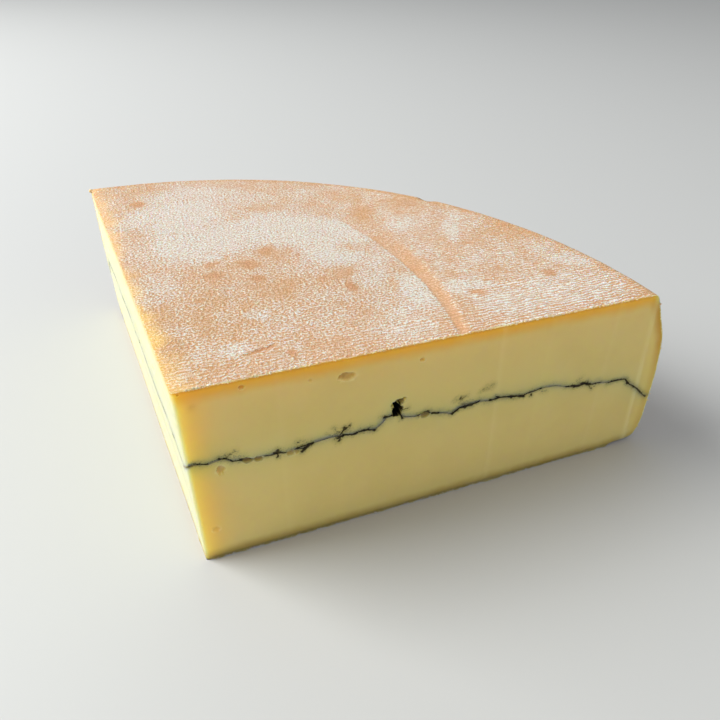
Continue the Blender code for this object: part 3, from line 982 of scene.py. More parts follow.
@dataclass(frozen=True)
class RindMap:
    """Where the top of the rind is white with bloom, bare or warm in colour, in millimetres.

    Attributes:
        patches: White patches, as (x, y, half length, half width, turn, strength).
        bare: Broad places with less bloom, in the same way.
        spots: Small bare spots, in the same way.
        warm: Places with a warmer skin, in the same way.
        hoop_inner: Circle at the tip's side of the smooth band that the hoop left, as (x, y, radius).
        hoop_outer: Circle at its heel's side.
        crease: A fold in the skin, as (from x, from y, to x, to y).
        fringe: Width of the orange rim along the other cut, what it has more near the tip and far from it.
        fringe_ragged: How far its border wanders.
    """

    patches: Table = (
        (58.0, 87.0, 27.0, 15.0, -0.55, 0.66),
        (22.0, 88.0, 21.0, 15.0, 0.10, 0.52),
        (13.0, 114.0, 18.0, 14.0, 0.0, 0.52),
        (30.0, 133.0, 30.0, 12.0, -0.2, 0.36),
        (64.0, 64.0, 10.0, 8.0, -0.6, 0.50),
        (76.0, 47.0, 17.0, 8.0, 1.3, 0.22),
        (83.5, 29.0, 10.0, 5.0, 1.5, 0.50),
        (29.5, 30.0, 4.5, 3.2, 0.0, 0.36),
        (19.0, 14.5, 5.0, 3.4, 0.2, 0.38),
        (74.0, 12.0, 12.0, 9.0, 0.0, 0.16),
        (98.0, 80.0, 9.0, 7.0, 0.9, 0.28),
        (120.0, 72.0, 14.0, 3.2, 1.18, 0.36),
        (99.5, 26.5, 8.5, 3.6, 0.0, 0.58),
        (107.0, 10.0, 9.0, 6.5, -0.3, 0.56),
        (149.0, 32.0, 9.0, 6.0, -0.3, 0.26),
        (131.0, 13.0, 22.0, 11.0, 0.1, 0.26),
        (118.0, 43.0, 12.0, 7.0, 0.4, 0.14),
    )
    bare: Table = (
        (15.0, 32.0, 26.0, 18.0, 0.3, 0.06),
        (38.0, 42.0, 16.0, 7.0, 0.1, 0.05),
        (71.0, 66.0, 4.6, 3.0, 0.5, 0.28),
        (62.0, 47.0, 6.0, 2.6, 0.6, 0.16),
        (46.0, 46.0, 6.0, 2.2, 0.0, 0.14),
        (143.0, 62.0, 9.0, 12.0, 0.4, 0.20),
        (116.0, 101.0, 17.0, 8.0, -0.7, 0.12),
        (88.0, 96.0, 15.0, 5.0, 1.3, 0.16),
        (48.0, 124.0, 14.0, 8.0, -0.3, 0.12),
        (126.0, 58.0, 9.0, 7.0, 0.0, 0.10),
    )
    spots: Table = (
        (21.6, 68.6, 3.0, 2.8, 0.0, 0.55),
        (33.7, 64.3, 3.0, 3.4, 0.0, 0.75),
        (20.9, 59.3, 3.4, 2.4, 0.2, 0.50),
        (34.4, 53.6, 3.0, 2.4, 0.0, 0.65),
        (42.3, 72.9, 3.2, 2.8, 0.0, 0.50),
        (59.4, 71.4, 2.0, 2.4, 0.0, 0.60),
        (52.3, 65.7, 1.6, 2.0, 0.0, 0.45),
        (55.9, 46.4, 2.6, 1.8, 0.0, 0.36),
        (49.6, 81.0, 1.5, 2.2, 0.0, 0.45),
        (45.4, 76.6, 1.2, 1.8, 0.0, 0.40),
        (24.6, 100.4, 1.8, 2.0, 0.0, 0.35),
        (12.4, 97.0, 1.3, 1.5, 0.0, 0.40),
        (51.0, 98.0, 1.4, 2.0, 0.0, 0.35),
        (28.0, 72.0, 1.2, 1.4, 0.0, 0.45),
        (14.0, 44.0, 1.6, 1.4, 0.0, 0.35),
        (27.4, 43.2, 1.4, 1.2, 0.0, 0.35),
        (46.0, 27.6, 1.6, 1.3, 0.0, 0.35),
        (118.0, 33.0, 1.8, 1.6, 0.0, 0.45),
        (110.0, 62.0, 2.0, 1.8, 0.0, 0.35),
        (63.3, 37.6, 2.4, 3.4, 0.0, 0.75),
        (35.1, 6.6, 1.0, 1.9, 0.25, 0.85),
        (0.9, 132.9, 2.8, 3.6, 0.0, 0.60),
        (4.4, 109.7, 1.6, 1.8, 0.0, 0.60),
        (42.3, 104.3, 1.0, 1.8, 0.0, 0.45),
        (133.0, 25.0, 2.8, 3.4, 0.0, 0.65),
        (112.6, 13.0, 2.2, 3.0, 0.0, 0.60),
        (101.6, 21.8, 2.6, 2.0, 0.0, 0.60),
        (104.0, 44.0, 2.4, 2.0, 0.0, 0.35),
        (124.0, 47.0, 2.6, 2.2, 0.0, 0.30),
    )
    warm: Table = (
        (8.0, 22.0, 26.0, 24.0, 0.0, 0.55),
        (40.0, 38.0, 22.0, 10.0, 0.2, 0.35),
        (140.0, 62.0, 14.0, 14.0, 0.0, 0.40),
        (46.0, 128.0, 20.0, 10.0, -0.4, 0.25),
        (88.0, 96.0, 16.0, 6.0, 1.3, 0.30),
    )
    hoop_inner: tuple[float, float, float] = (-72.5, 33.0, 160.0)
    hoop_outer: tuple[float, float, float] = (-71.0, 47.0, 164.8)
    crease: tuple[float, float, float, float] = (18.0, 9.8, 30.0, 13.0)
    fringe: tuple[float, float, float] = (4.6, 3.4, 3.0)
    fringe_ragged: float = 4.6

    def past_circle(self, x: Array, y: Array, circle: tuple[float, float, float]) -> Array:
        """Distance past a circle, below zero inside it."""
        return np.hypot(x - circle[0], y - circle[1]) - circle[2]

    def band(self, x: Array, y: Array) -> Array:
        """The smooth band between the hoop's two circles, fading out away from the front cut.

        Args:
            x: Distances along the front cut.
            y: Distances in from the front cut.

        Returns:
            Strength of the band, from 0 to 1.
        """
        inner = smoothstep(-0.9, 0.9, self.past_circle(x, y, self.hoop_inner))
        outer = smoothstep(0.9, -1.2, self.past_circle(x, y, self.hoop_outer))
        return inner * outer * smoothstep(92.0, 38.0, y)

    def crease_reach(self, x: Array, y: Array) -> Array:
        """Distance from the fold's middle less half its length, which takes in all of the fold."""
        from_x, from_y, to_x, to_y = self.crease
        away = np.hypot(x - (from_x + to_x) / 2.0, y - (from_y + to_y) / 2.0)
        return away - math.hypot(to_x - from_x, to_y - from_y) / 2.0

    def crease_depth(self, x: Array, y: Array) -> Array:
        """The fold: a lip along its line and a hollow on the front side, tapering to both ends.

        Args:
            x: Distances along the front cut.
            y: Distances in from the front cut.

        Returns:
            Height over the rind, in millimetres.
        """
        from_x, from_y, to_x, to_y = self.crease
        length = math.hypot(to_x - from_x, to_y - from_y)
        unit_x, unit_y = (to_x - from_x) / length, (to_y - from_y) / length
        along = (x - from_x) * unit_x + (y - from_y) * unit_y
        across = (y - from_y) * unit_x - (x - from_x) * unit_y
        taper = smoothstep(-1.0, 4.0, along) * smoothstep(length + 1.5, length - 1.0, along)
        lip = 0.20 * bell(across - 0.3, 0.50)
        hollow = 0.28 * bell(across + 0.7, 0.6) * smoothstep(1.0, 7.0, along)
        return taper * (lip - hollow)

    def bloom(self, x: Array, y: Array) -> Array:
        """Cover of white bloom: patches and noise, less the bare places and spots, with more on the fold's
        lip as a painted highlight and far less in its hollow as painted shade.

        Args:
            x: Distances along the front cut.
            y: Distances in from the front cut.

        Returns:
            Cover, roughly from 0 to 1.
        """
        warp_x = x + 4.0 * fractal_noise(x, y, 0.0, 12.0, 3, 11)
        warp_y = y + 4.0 * fractal_noise(x, y, 0.0, 12.0, 3, 12)
        cover = 0.44 + 0.13 * fractal_noise(x, y, 0.0, 20.0, 3, 13) + 0.06 * smoothstep(84.0, 100.0, x)
        cover = cover + 0.26 * fractal_noise(x, y, 0.0, 7.0, 4, 16)
        inside = smoothstep(0.8, -0.4, self.past_circle(x, y, self.hoop_inner))
        inside = np.maximum(inside, smoothstep(90.0, 96.0, x))
        cover = cover + 1.2 * soft_ellipses(warp_x, warp_y, self.patches) * inside
        cover = cover - 1.3 * soft_ellipses(warp_x, warp_y, self.bare)
        # Painted highlight on the fold's lip and painted shade in its hollow, as more and less bloom.
        lip = self.crease_depth(x, y)
        cover = cover + 0.6 * np.maximum(lip, 0.0) - 2.5 * np.maximum(-lip, 0.0)
        return cover - 0.85 * self.spotted(x, y)

    def spotted(self, x: Array, y: Array) -> Array:
        """The small bare spots, with uneven outlines.

        Args:
            x: Distances along the front cut.
            y: Distances in from the front cut.

        Returns:
            Strength of the spots.
        """
        wobble_x = x + 1.3 * fractal_noise(x, y, 0.0, 3.5, 2, 14)
        wobble_y = y + 1.3 * fractal_noise(x, y, 0.0, 3.5, 2, 15)
        return soft_ellipses(wobble_x, wobble_y, self.spots)


@dataclass
class CurdHalf:
    """One curd with its rind: a closed body of cut faces, heel, rind face and parting face.

    Attributes:
        half: Which curd it is.
        form: Form of the wheel.
        ash: Form of the ash.
        knife: What the knife left.
        rind_map: Where the rind is white or bare.
        middle_rows: Rows between the ones near the ash and the ones near the rind.
        ash_rows: Distances of rows from the ash.
        rim_rows: Distances of rows from the flat face of rind.
        fine_cuts: How often an edge near an eye or the ash is split.
        fine_reach: How far from the ash on the front cut, and from the fold, the faces are split.
        eye_margin: How far from an eye's rim they are.
        print_depth: How near the heel a face lies whose print runs round the wheel.
        turn_height: Share of the height at which the heel turns under.
    """

    half: Half
    form: WheelForm
    ash: AshForm
    knife: KnifeForm
    rind_map: RindMap
    middle_rows: int = 13
    ash_rows: tuple[float, ...] = (0.5, 1.1, 1.8, 2.7, 3.8, 5.2)
    rim_rows: tuple[float, ...] = (5.0, 3.6, 2.6, 1.9, 1.45, 1.2, 0.9, 0.6, 0.35, 0.15)
    fine_cuts: int = 3
    fine_reach: float = 3.2
    eye_margin: float = 1.4
    print_depth: float = 0.6
    turn_height: float = 0.2

    def rim_height(self) -> float:
        """Height of the flat face of rind."""
        return self.form.height if self.half is Half.UPPER else 0.0

    def relief(self, x: Array, y: Array) -> Array:
        """Unevenness of the flat face of rind: broad swells, small lumps and the band pressed in.

        Args:
            x: Distances along the front cut.
            y: Distances in from the front cut.

        Returns:
            Height over the flat face. The base stays flat where it stands.
        """
        if self.half is Half.LOWER:
            return np.zeros(np.shape(x))
        broad = 0.20 * fractal_noise(x, y, 0.0, 45.0, 2, 41)
        lumps = 0.09 * fractal_noise(x, y, 0.0, 6.0, 3, 42)
        return broad + lumps - 0.20 * self.rind_map.band(x, y) - 0.25

    def heel_relief(self, x: Array, y: Array, z: Array) -> Array:
        """Unevenness of the heel, outwards: soft dents of a finger's size and small lumps."""
        dents = 0.35 * fractal_noise(x, y, z, 24.0, 2, 43)
        lumps = 0.14 * fractal_noise(x, y, 1.6 * z, 4.5, 3, 44)
        return dents + lumps

    def wall_rows(self, parting: Array) -> list[Array]:
        """Heights of the rows between the parting and the rim, at each place of the border.

        Rows near either end keep a fixed distance to it, and the others share what is between them evenly.

        Args:
            parting: Height of the parting at each place.

        Returns:
            Heights, from the parting towards the rim.
        """
        away = self.half.value
        rim = self.rim_height()
        near = [parting + away * offset for offset in self.ash_rows]
        far = [np.full(parting.shape, rim - away * offset) for offset in self.rim_rows]
        shares = np.linspace(0.0, 1.0, self.middle_rows + 2)[1:-1]
        middle = [near[-1] + (far[0] - near[-1]) * share for share in shares]
        return near + middle + far

    def build(self, place: Placement, materials: list[Material]) -> Object:
        """Builds the closed body and dresses it.

        Args:
            place: Moves the points into the frame.
            materials: Paste and rind.

        Returns:
            The curd.
        """
        share, turn = self.form.sector()
        lift = self.half.value / 2.0
        parting = self.form.on_ash(share, turn, lambda x, y: lift * self.ash.at(x, y))
        rim = self.rim_height()
        x, y = self.form.place(share, turn, np.full(share.shape, rim))
        face = np.stack([x, y, rim + self.relief(x, y)], axis=-1)
        count = share.size
        index = np.arange(count).reshape(share.shape)
        ring = ring_of(index)
        ring_share = share.reshape(-1)[ring]
        ring_turn = turn.reshape(-1)[ring]
        heights = self.wall_rows(parting.reshape(-1, 3)[ring, 2])
        rows = []
        for height in heights:
            x, y = self.form.place(ring_share, ring_turn, height)
            fade = smoothstep(6.0, 0.0, np.abs(height - rim))
            rows.append(np.stack([x, y, height + fade * self.relief(x, y)], axis=-1))
        points = np.concatenate([parting.reshape(-1, 3), face.reshape(-1, 3)] + rows)
        wall = np.arange(len(rows) * len(ring)).reshape(len(rows), len(ring)) + 2 * count
        wall = closed_wall([ring, wall, ring + count])
        faces = [grid_faces(index)[:, ::-1], grid_faces(index + count), wall]
        if self.half is Half.LOWER:
            faces = [part[:, ::-1] for part in faces]
        obj = mesh_object(f"{self.half.name.lower()}_curd", points, np.concatenate(faces), place, materials)
        slots = self.face_slots(len(ring), len(rows), [len(part) for part in faces[:2]])
        obj.data.polygons.foreach_set("material_index", slots)
        self.refine(obj.data, place)
        self.write_print_map(obj.data, place)
        self.shape(obj.data, place)
        shade(obj)
        return obj

    def face_slots(self, ring: int, rows: int, flat: list[int]) -> Array:
        """Material slot of each face: 0 on the parting and the cuts, and 1 on the flat face and the heel.

        Args:
            ring: Places round the border.
            rows: Rows of the wall between parting and rim.
            flat: Faces of the parting and of the flat face.

        Returns:
            The slots.
        """
        wall = np.zeros((ring, rows + 1), dtype=np.int32)
        wall[self.form.steps_out : 2 * self.form.steps_out + self.form.steps_in] = 1
        parts = [np.zeros(flat[0], np.int32), np.ones(flat[1], np.int32), wall.reshape(-1)]
        return np.concatenate(parts)

    def refine(self, mesh: Mesh, place: Placement) -> None:
        """Splits the faces near the eyes, the ash on the front cut and the fold, to give them points.

        Args:
            mesh: The curd's mesh, with its cuts still flat.
            place: Where the frame has the wheel's middle.
        """
        points = place.from_mesh(mesh)
        x, y, z = points.T
        (along, behind, _), (left_along, left_behind, _) = self.knife.on_cuts(points)
        cut = np.where(behind < ON_CUT, 1, np.where(left_behind < ON_CUT, 2, 0))
        split = (cut == 1) & (np.abs(z - self.form.ash_height(x, y)) < self.fine_reach)
        for number, place_along, eyes in ((1, along, FRONT_EYES), (2, left_along, LEFT_EYES)):
            for eye in eyes:
                size = max(eye.half_width, eye.half_height) + self.eye_margin
                split |= (cut == number) & (np.hypot(place_along - eye.along, z - eye.height) < size)
        split |= (z > self.form.height - 1.5) & (self.rind_map.crease_reach(x, y) < self.fine_reach)
        bm = bmesh.new()
        bm.from_mesh(mesh)
        bm.verts.ensure_lookup_table()
        edges = set()
        for number in np.flatnonzero(split):
            for edge in bm.verts[int(number)].link_edges:
                if cut[edge.verts[0].index] == cut[edge.verts[1].index]:
                    edges.add(edge)
        ordered = sorted(edges, key=lambda edge: edge.index)
        bmesh.ops.subdivide_edges(bm, edges=ordered, cuts=self.fine_cuts, use_grid_fill=True)
        bmesh.ops.triangulate(bm, faces=[face for face in bm.faces if len(face.verts) > 4])
        bm.to_mesh(mesh)
        bm.free()

    def write_print_map(self, mesh: Mesh, place: Placement) -> None:
        """Writes the UV map of the cloth's print: x and y on a flat face, and round and up on the heel.

        Args:
            mesh: The curd's mesh, before it is dressed.
            place: Where the frame has the wheel's middle.
        """
        x, y, z = place.from_mesh(mesh).T
        turn = np.arctan2(y, x)
        depth = self.form.heel_radius(z, turn) - np.hypot(x, y)
        corners = np.empty(len(mesh.loops), np.int32)
        mesh.loops.foreach_get("vertex_index", corners)
        totals = np.empty(len(mesh.polygons), np.int32)
        mesh.polygons.foreach_get("loop_total", totals)
        owner = np.repeat(np.arange(len(totals)), totals)
        mean_depth = np.bincount(owner, weights=depth[corners]) / totals
        mean_height = np.bincount(owner, weights=z[corners]) / totals
        below_top = (mean_height > 0.02) & (mean_height < self.form.height - 0.02)
        on_heel = ((mean_depth < self.print_depth) & below_top)[owner]
        flat = np.stack([x[corners], y[corners]], axis=1)
        up = z + np.sign(z - self.turn_height * self.form.height) * (self.form.belly - np.hypot(x, y))
        heel = np.stack([HEEL_ASIDE + turn[corners] * self.form.belly, up[corners]], axis=1)
        layer = mesh.uv_layers.new(name="print")
        layer.uv.foreach_set("vector", (np.where(on_heel[:, None], heel, flat) / PRINT_UNIT).reshape(-1))

    def shape(self, mesh: Mesh, place: Placement) -> None:
        """Moves the points of the cuts and the heel by their relief, and stores what the finishes read.

        Args:
            mesh: The curd's mesh.
            place: Where the frame has the wheel's middle.
        """
        points = place.from_mesh(mesh)
        x, y, z = points.T
        left_along, left_depth, _ = self.knife.on_cuts(points)[1]
        distance = np.hypot(x, y)
        heel_depth = np.maximum(self.form.heel_radius(z, np.arctan2(y, x)) - distance, 0.0)
        on_front = y < ON_CUT
        skin = smoothstep(1.0, 0.0, heel_depth) * smoothstep(0.0, 1.5, y) * smoothstep(0.0, 1.5, left_depth)
        flat = smoothstep(0.0, 2.0, z) * smoothstep(0.0, 2.0, self.form.height - z)
        swell = 1.0 + skin * flat * self.heel_relief(x, y, z) / np.maximum(distance, 1.0)
        moved = self.knife.press(points) * np.stack([swell, swell, np.ones(len(x))], axis=1)
        moved = self.form.press_dent(moved)
        moved = open_eyes(points, moved, self.knife)
        moved[:, 2] += smoothstep(1.5, 0.8, self.form.height - z) * self.rind_map.crease_depth(x, y)
        moved[:, 1] -= on_front * self.burrs(x, z)
        write_points(mesh, place.to_frame(moved))
        offset = z - self.form.ash_height(x, y)
        pit_shade_and_marks, lip, soot = self.eye_paint(points)
        gold_x, gold_z, gold_half = self.knife.gold_spot
        gold = bell(np.hypot(x - gold_x, z - gold_z), gold_half)
        # The golden spot and a band along the ash at the tip's corner go into the same attribute as the eyes'
        # painted shade and take its colour.
        pit_shade_and_marks = np.maximum(pit_shade_and_marks, self.knife.gold_strength * gold * on_front)
        corner = np.where(on_front, smoothstep(4.0, 1.0, x), smoothstep(7.0, 2.0, left_along))
        pit_shade_and_marks = np.maximum(pit_shade_and_marks, 1.1 * corner * bell(offset, 0.35))
        self.write_cut_finish(mesh, x, left_along, z, offset, on_front)
        # Painted light: the other cut gets a paler, greener copy of the paste, for the strong light that
        # falls on it.
        painted_lit_cut = smoothstep(1.5, 0.2, left_depth)
        write_attributes(mesh, {"heel_depth": heel_depth, "painted_lit_cut": painted_lit_cut, "pit_shade_and_marks": pit_shade_and_marks, "lip": lip, "soot": soot})
        self.write_rind_finish(mesh, x, y, z, left_depth, heel_depth)

    def burrs(self, x: Array, z: Array) -> Array:
        """Torn edges of the front cut: a ragged lip along the flat face of rind, and one along the foot.

        Args:
            x: Distances along the front cut.
            z: Heights above the base.

        Returns:
            How far they stand out from the cut.
        """
        rim = 0.16 * smoothstep(0.40, 0.0, np.abs(z - self.rim_height() + 0.25))
        rim = rim * (0.35 + fractal_noise(x, z, 0.0, 1.6, 2, 57))
        foot = bell(z - 0.32, 0.3) * smoothstep(0.5, 3.0, x)
        return rim + foot * np.maximum(0.60 + 0.50 * fractal_noise(x, z, 0.0, 3.2, 3, 58), 0.0)

    def eye_paint(self, points: Array) -> tuple[Array, Array, Array]:
        """Where the eyes get painted shade inside, a painted highlight round their lower rim, and black ash.

        Args:
            points: Points of the curd, before it is dressed.

        Returns:
            Strength of the painted shade inside, of the painted highlight round the lower rim and of the
            soot, each from 0 to 1.
        """
        x, _, z = points.T
        grain = 0.5 * fractal_noise(x, z, 0.0, 0.9, 2, 33)
        pit_shade_and_marks, lip, soot = np.zeros((3, len(x)))
        for (along, behind, _), eyes in zip(self.knife.on_cuts(points), (FRONT_EYES, LEFT_EYES)):
            for eye in eyes:
                reach = np.where(behind < 2.0 * eye.depth, eye.reach(along, z), OUTSIDE)
                inside = np.clip(1.0 - reach**2, 0.0, 1.0)
                rise = (z - eye.height) / eye.half_height
                # Painted shade inside each eye: the sunny side faces the light, and the shade is strongest on
                # the dusk side away from it.
                sunny = 0.5 * (along - eye.along) / eye.half_width - 0.6 * rise
                dusk = smoothstep(0.45, -0.35, sunny + grain)
                pit_shade_and_marks = np.maximum(pit_shade_and_marks, eye.pit_shade * smoothstep(0.0, 0.45, inside) * (0.30 + 0.70 * dusk))
                soot = np.maximum(soot, eye.soot * smoothstep(1.20, 1.02, reach))
                # Painted highlight round the lower rim of each eye, where it would catch the light; none
                # where ash blackens it.
                ring = smoothstep(0.80, 1.02, reach) * smoothstep(1.45, 1.08, reach)
                below = smoothstep(0.2, -0.5, rise)
                lip = np.maximum(lip, ring * (0.25 + 0.75 * below) * (1.0 - eye.soot))
        return pit_shade_and_marks, lip, soot

    def write_cut_finish(
        self, mesh: Mesh, x: Array, left_along: Array, z: Array, offset: Array, front: Array
    ) -> None:
        """Stores the ash's line, smears, halo and streaks, the tip's painted glow, the facet, the lighter
        stripes past the knife's marks and the painted highlight along the facet's hinge.

        Args:
            mesh: The curd's mesh.
            x: Distances along the front cut.
            left_along: Distances along the other cut.
            z: Heights above the base.
            offset: Heights over the ash.
            front: Where a point lies on the front cut.
        """
        ink, halo = self.ash.smear(x, z, self.ash.strokes)
        left_ink, left_halo = self.ash.smear(left_along, z, self.ash.left_strokes)
        broken = smoothstep(-0.15, 0.35, fractal_noise(x + left_along, z, 0.0, 2.6, 3, 95))
        line = bell(offset, self.ash.line_half) * (0.15 + 0.5 * broken)
        cloud = 0.5 + 0.5 * fractal_noise(x + 0.3 * left_along, z, 0.0, 5.0, 3, 96)
        haze = bell(offset - self.ash.haze_rise, self.ash.haze_half) * (0.08 + 0.70 * cloud**2)
        starts = smoothstep(1.2, 2.4, x)
        front_ink = np.maximum(ink, 0.70 * line * starts)
        corner = self.ash.corner_haze * bell(offset, self.ash.corner_half)
        front_haze = np.maximum(0.7 * haze * starts, 0.68 * halo)
        front_haze = np.maximum(front_haze, corner * smoothstep(4.0, 1.0, x))
        left_starts = smoothstep(1.0, 6.0, left_along)
        faint = bell(offset, self.ash.faint_half) * (0.12 + 0.50 * broken) * left_starts
        left_haze = np.maximum(haze, 0.68 * left_halo) * left_starts
        streaks = smoothstep(0.05, 0.5, fractal_noise(0.025 * left_along, z, 0.0, 2.0, 2, 97))
        left_haze = np.maximum(left_haze, 0.12 * streaks * smoothstep(150.0, 60.0, left_along))
        left_haze = np.maximum(left_haze, corner * smoothstep(7.0, 2.0, left_along))
        past = np.where(front, self.knife.past_facet(x, z), -OUTSIDE)
        values = {
            # Painted glow near the tip, where light from the lit other cut would come through the paste.
            "near_tip": np.where(front, bell(x - 2.6, 5.0), 0.0),
            "ash_ink": np.where(front, front_ink, np.maximum(faint, left_ink)),
            "ash_haze": np.where(front, front_haze, left_haze),
            "facet": smoothstep(-0.1, 0.9, past),
            # Lighter stripes past the knife's marks, and the painted highlight along the facet's hinge.
            "pale": np.where(front, self.knife.paleness(x, z), 0.0),
        }
        write_attributes(mesh, values)

    def write_rind_finish(
        self, mesh: Mesh, x: Array, y: Array, z: Array, left_depth: Array, heel_depth: Array
    ) -> None:
        """Stores how white, warm, bare, orange at its rim and woven the rind is, and the painted shade in the
        fold's hollow.

        Args:
            mesh: The curd's mesh.
            x: Distances along the front cut.
            y: Distances in from the front cut.
            z: Heights above the base.
            left_depth: Distances in from the other cut.
            heel_depth: Distances in from the heel.
        """
        top = smoothstep(3.0, 1.0, self.form.height - z)
        cloud = fractal_noise(x, y, z, 18.0, 4, 81)
        warm_cloud = fractal_noise(x, y, z, 26.0, 3, 82)
        rim = smoothstep(5.0, 2.0, heel_depth + 1.2 * fractal_noise(x, y, z, 7.0, 2, 83)) * top
        bloom = top * self.rind_map.bloom(x, y) * (1.0 - 0.4 * rim) + (1.0 - top) * (0.34 + 0.30 * cloud)
        warm = top * soft_ellipses(x, y, self.rind_map.warm) + 0.30 + 0.35 * warm_cloud + 0.3 * rim
        # Painted shade in the fold's hollow, carried with the bare spots' darker skin colour.
        hollow = 1.8 * np.maximum(-self.rind_map.crease_depth(x, y), 0.0)
        middle, near_tip, far = self.rind_map.fringe
        width = middle + near_tip * smoothstep(30.0, 4.0, y) + far * smoothstep(104.0, 128.0, y)
        ragged = left_depth + self.rind_map.fringe_ragged * fractal_noise(x, y, z, 6.5, 4, 84)
        weave = 0.12 + 0.42 * smoothstep(62.0, 108.0, x) + 0.30 * smoothstep(30.0, 6.0, y)
        values = {
            "bloom": np.clip(bloom, 0.0, 1.0),
            "warm": np.clip(warm, 0.0, 1.0),
            "spot_and_crease_shade": top * np.clip(1.2 * self.rind_map.spotted(x, y) + hollow, 0.0, 1.0),
            "fringe": top * smoothstep(1.25, -0.15, ragged / width),
            "weave": top * weave + 0.5 * (1.0 - top),
        }
        write_attributes(mesh, values)


@dataclass
class AshLayer:
    """The ash between the curds: a thin closed sheet between their parting faces.

    Attributes:
        form: Form of the wheel.
        ash: Form of the ash.
        knife: What the knife left.
        least: Thinnest that the sheet gets, in millimetres.
    """

    form: WheelForm
    ash: AshForm
    knife: KnifeForm
    least: float = 0.015

    def build(self, place: Placement, materials: list[Material]) -> Object:
        """Builds the sheet, its two faces joined round the border.

        Args:
            place: Moves the points into the frame.
            materials: The ash.

        Returns:
            The sheet.
        """
        share, turn = self.form.sector()
        share = share * (self.ash.rind_end - 1.0) / self.form.belly
        sheets = []
        for side in (-0.5, 0.5):
            sheet = self.form.on_ash(
                share, turn, lambda x, y, side=side: side * np.maximum(self.ash.at(x, y), self.least)
            )
            sheets.append(open_eyes(sheet, self.knife.press(sheet), self.knife).reshape(-1, 3))
        count = share.size
        index = np.arange(count).reshape(share.shape)
        ring = ring_of(index)
        wall = closed_wall([ring, ring + count])
        faces = [grid_faces(index)[:, ::-1], grid_faces(index + count), wall]
        obj = mesh_object("ash_sheet", np.concatenate(sheets), np.concatenate(faces), place, materials)
        shade(obj)
        return obj


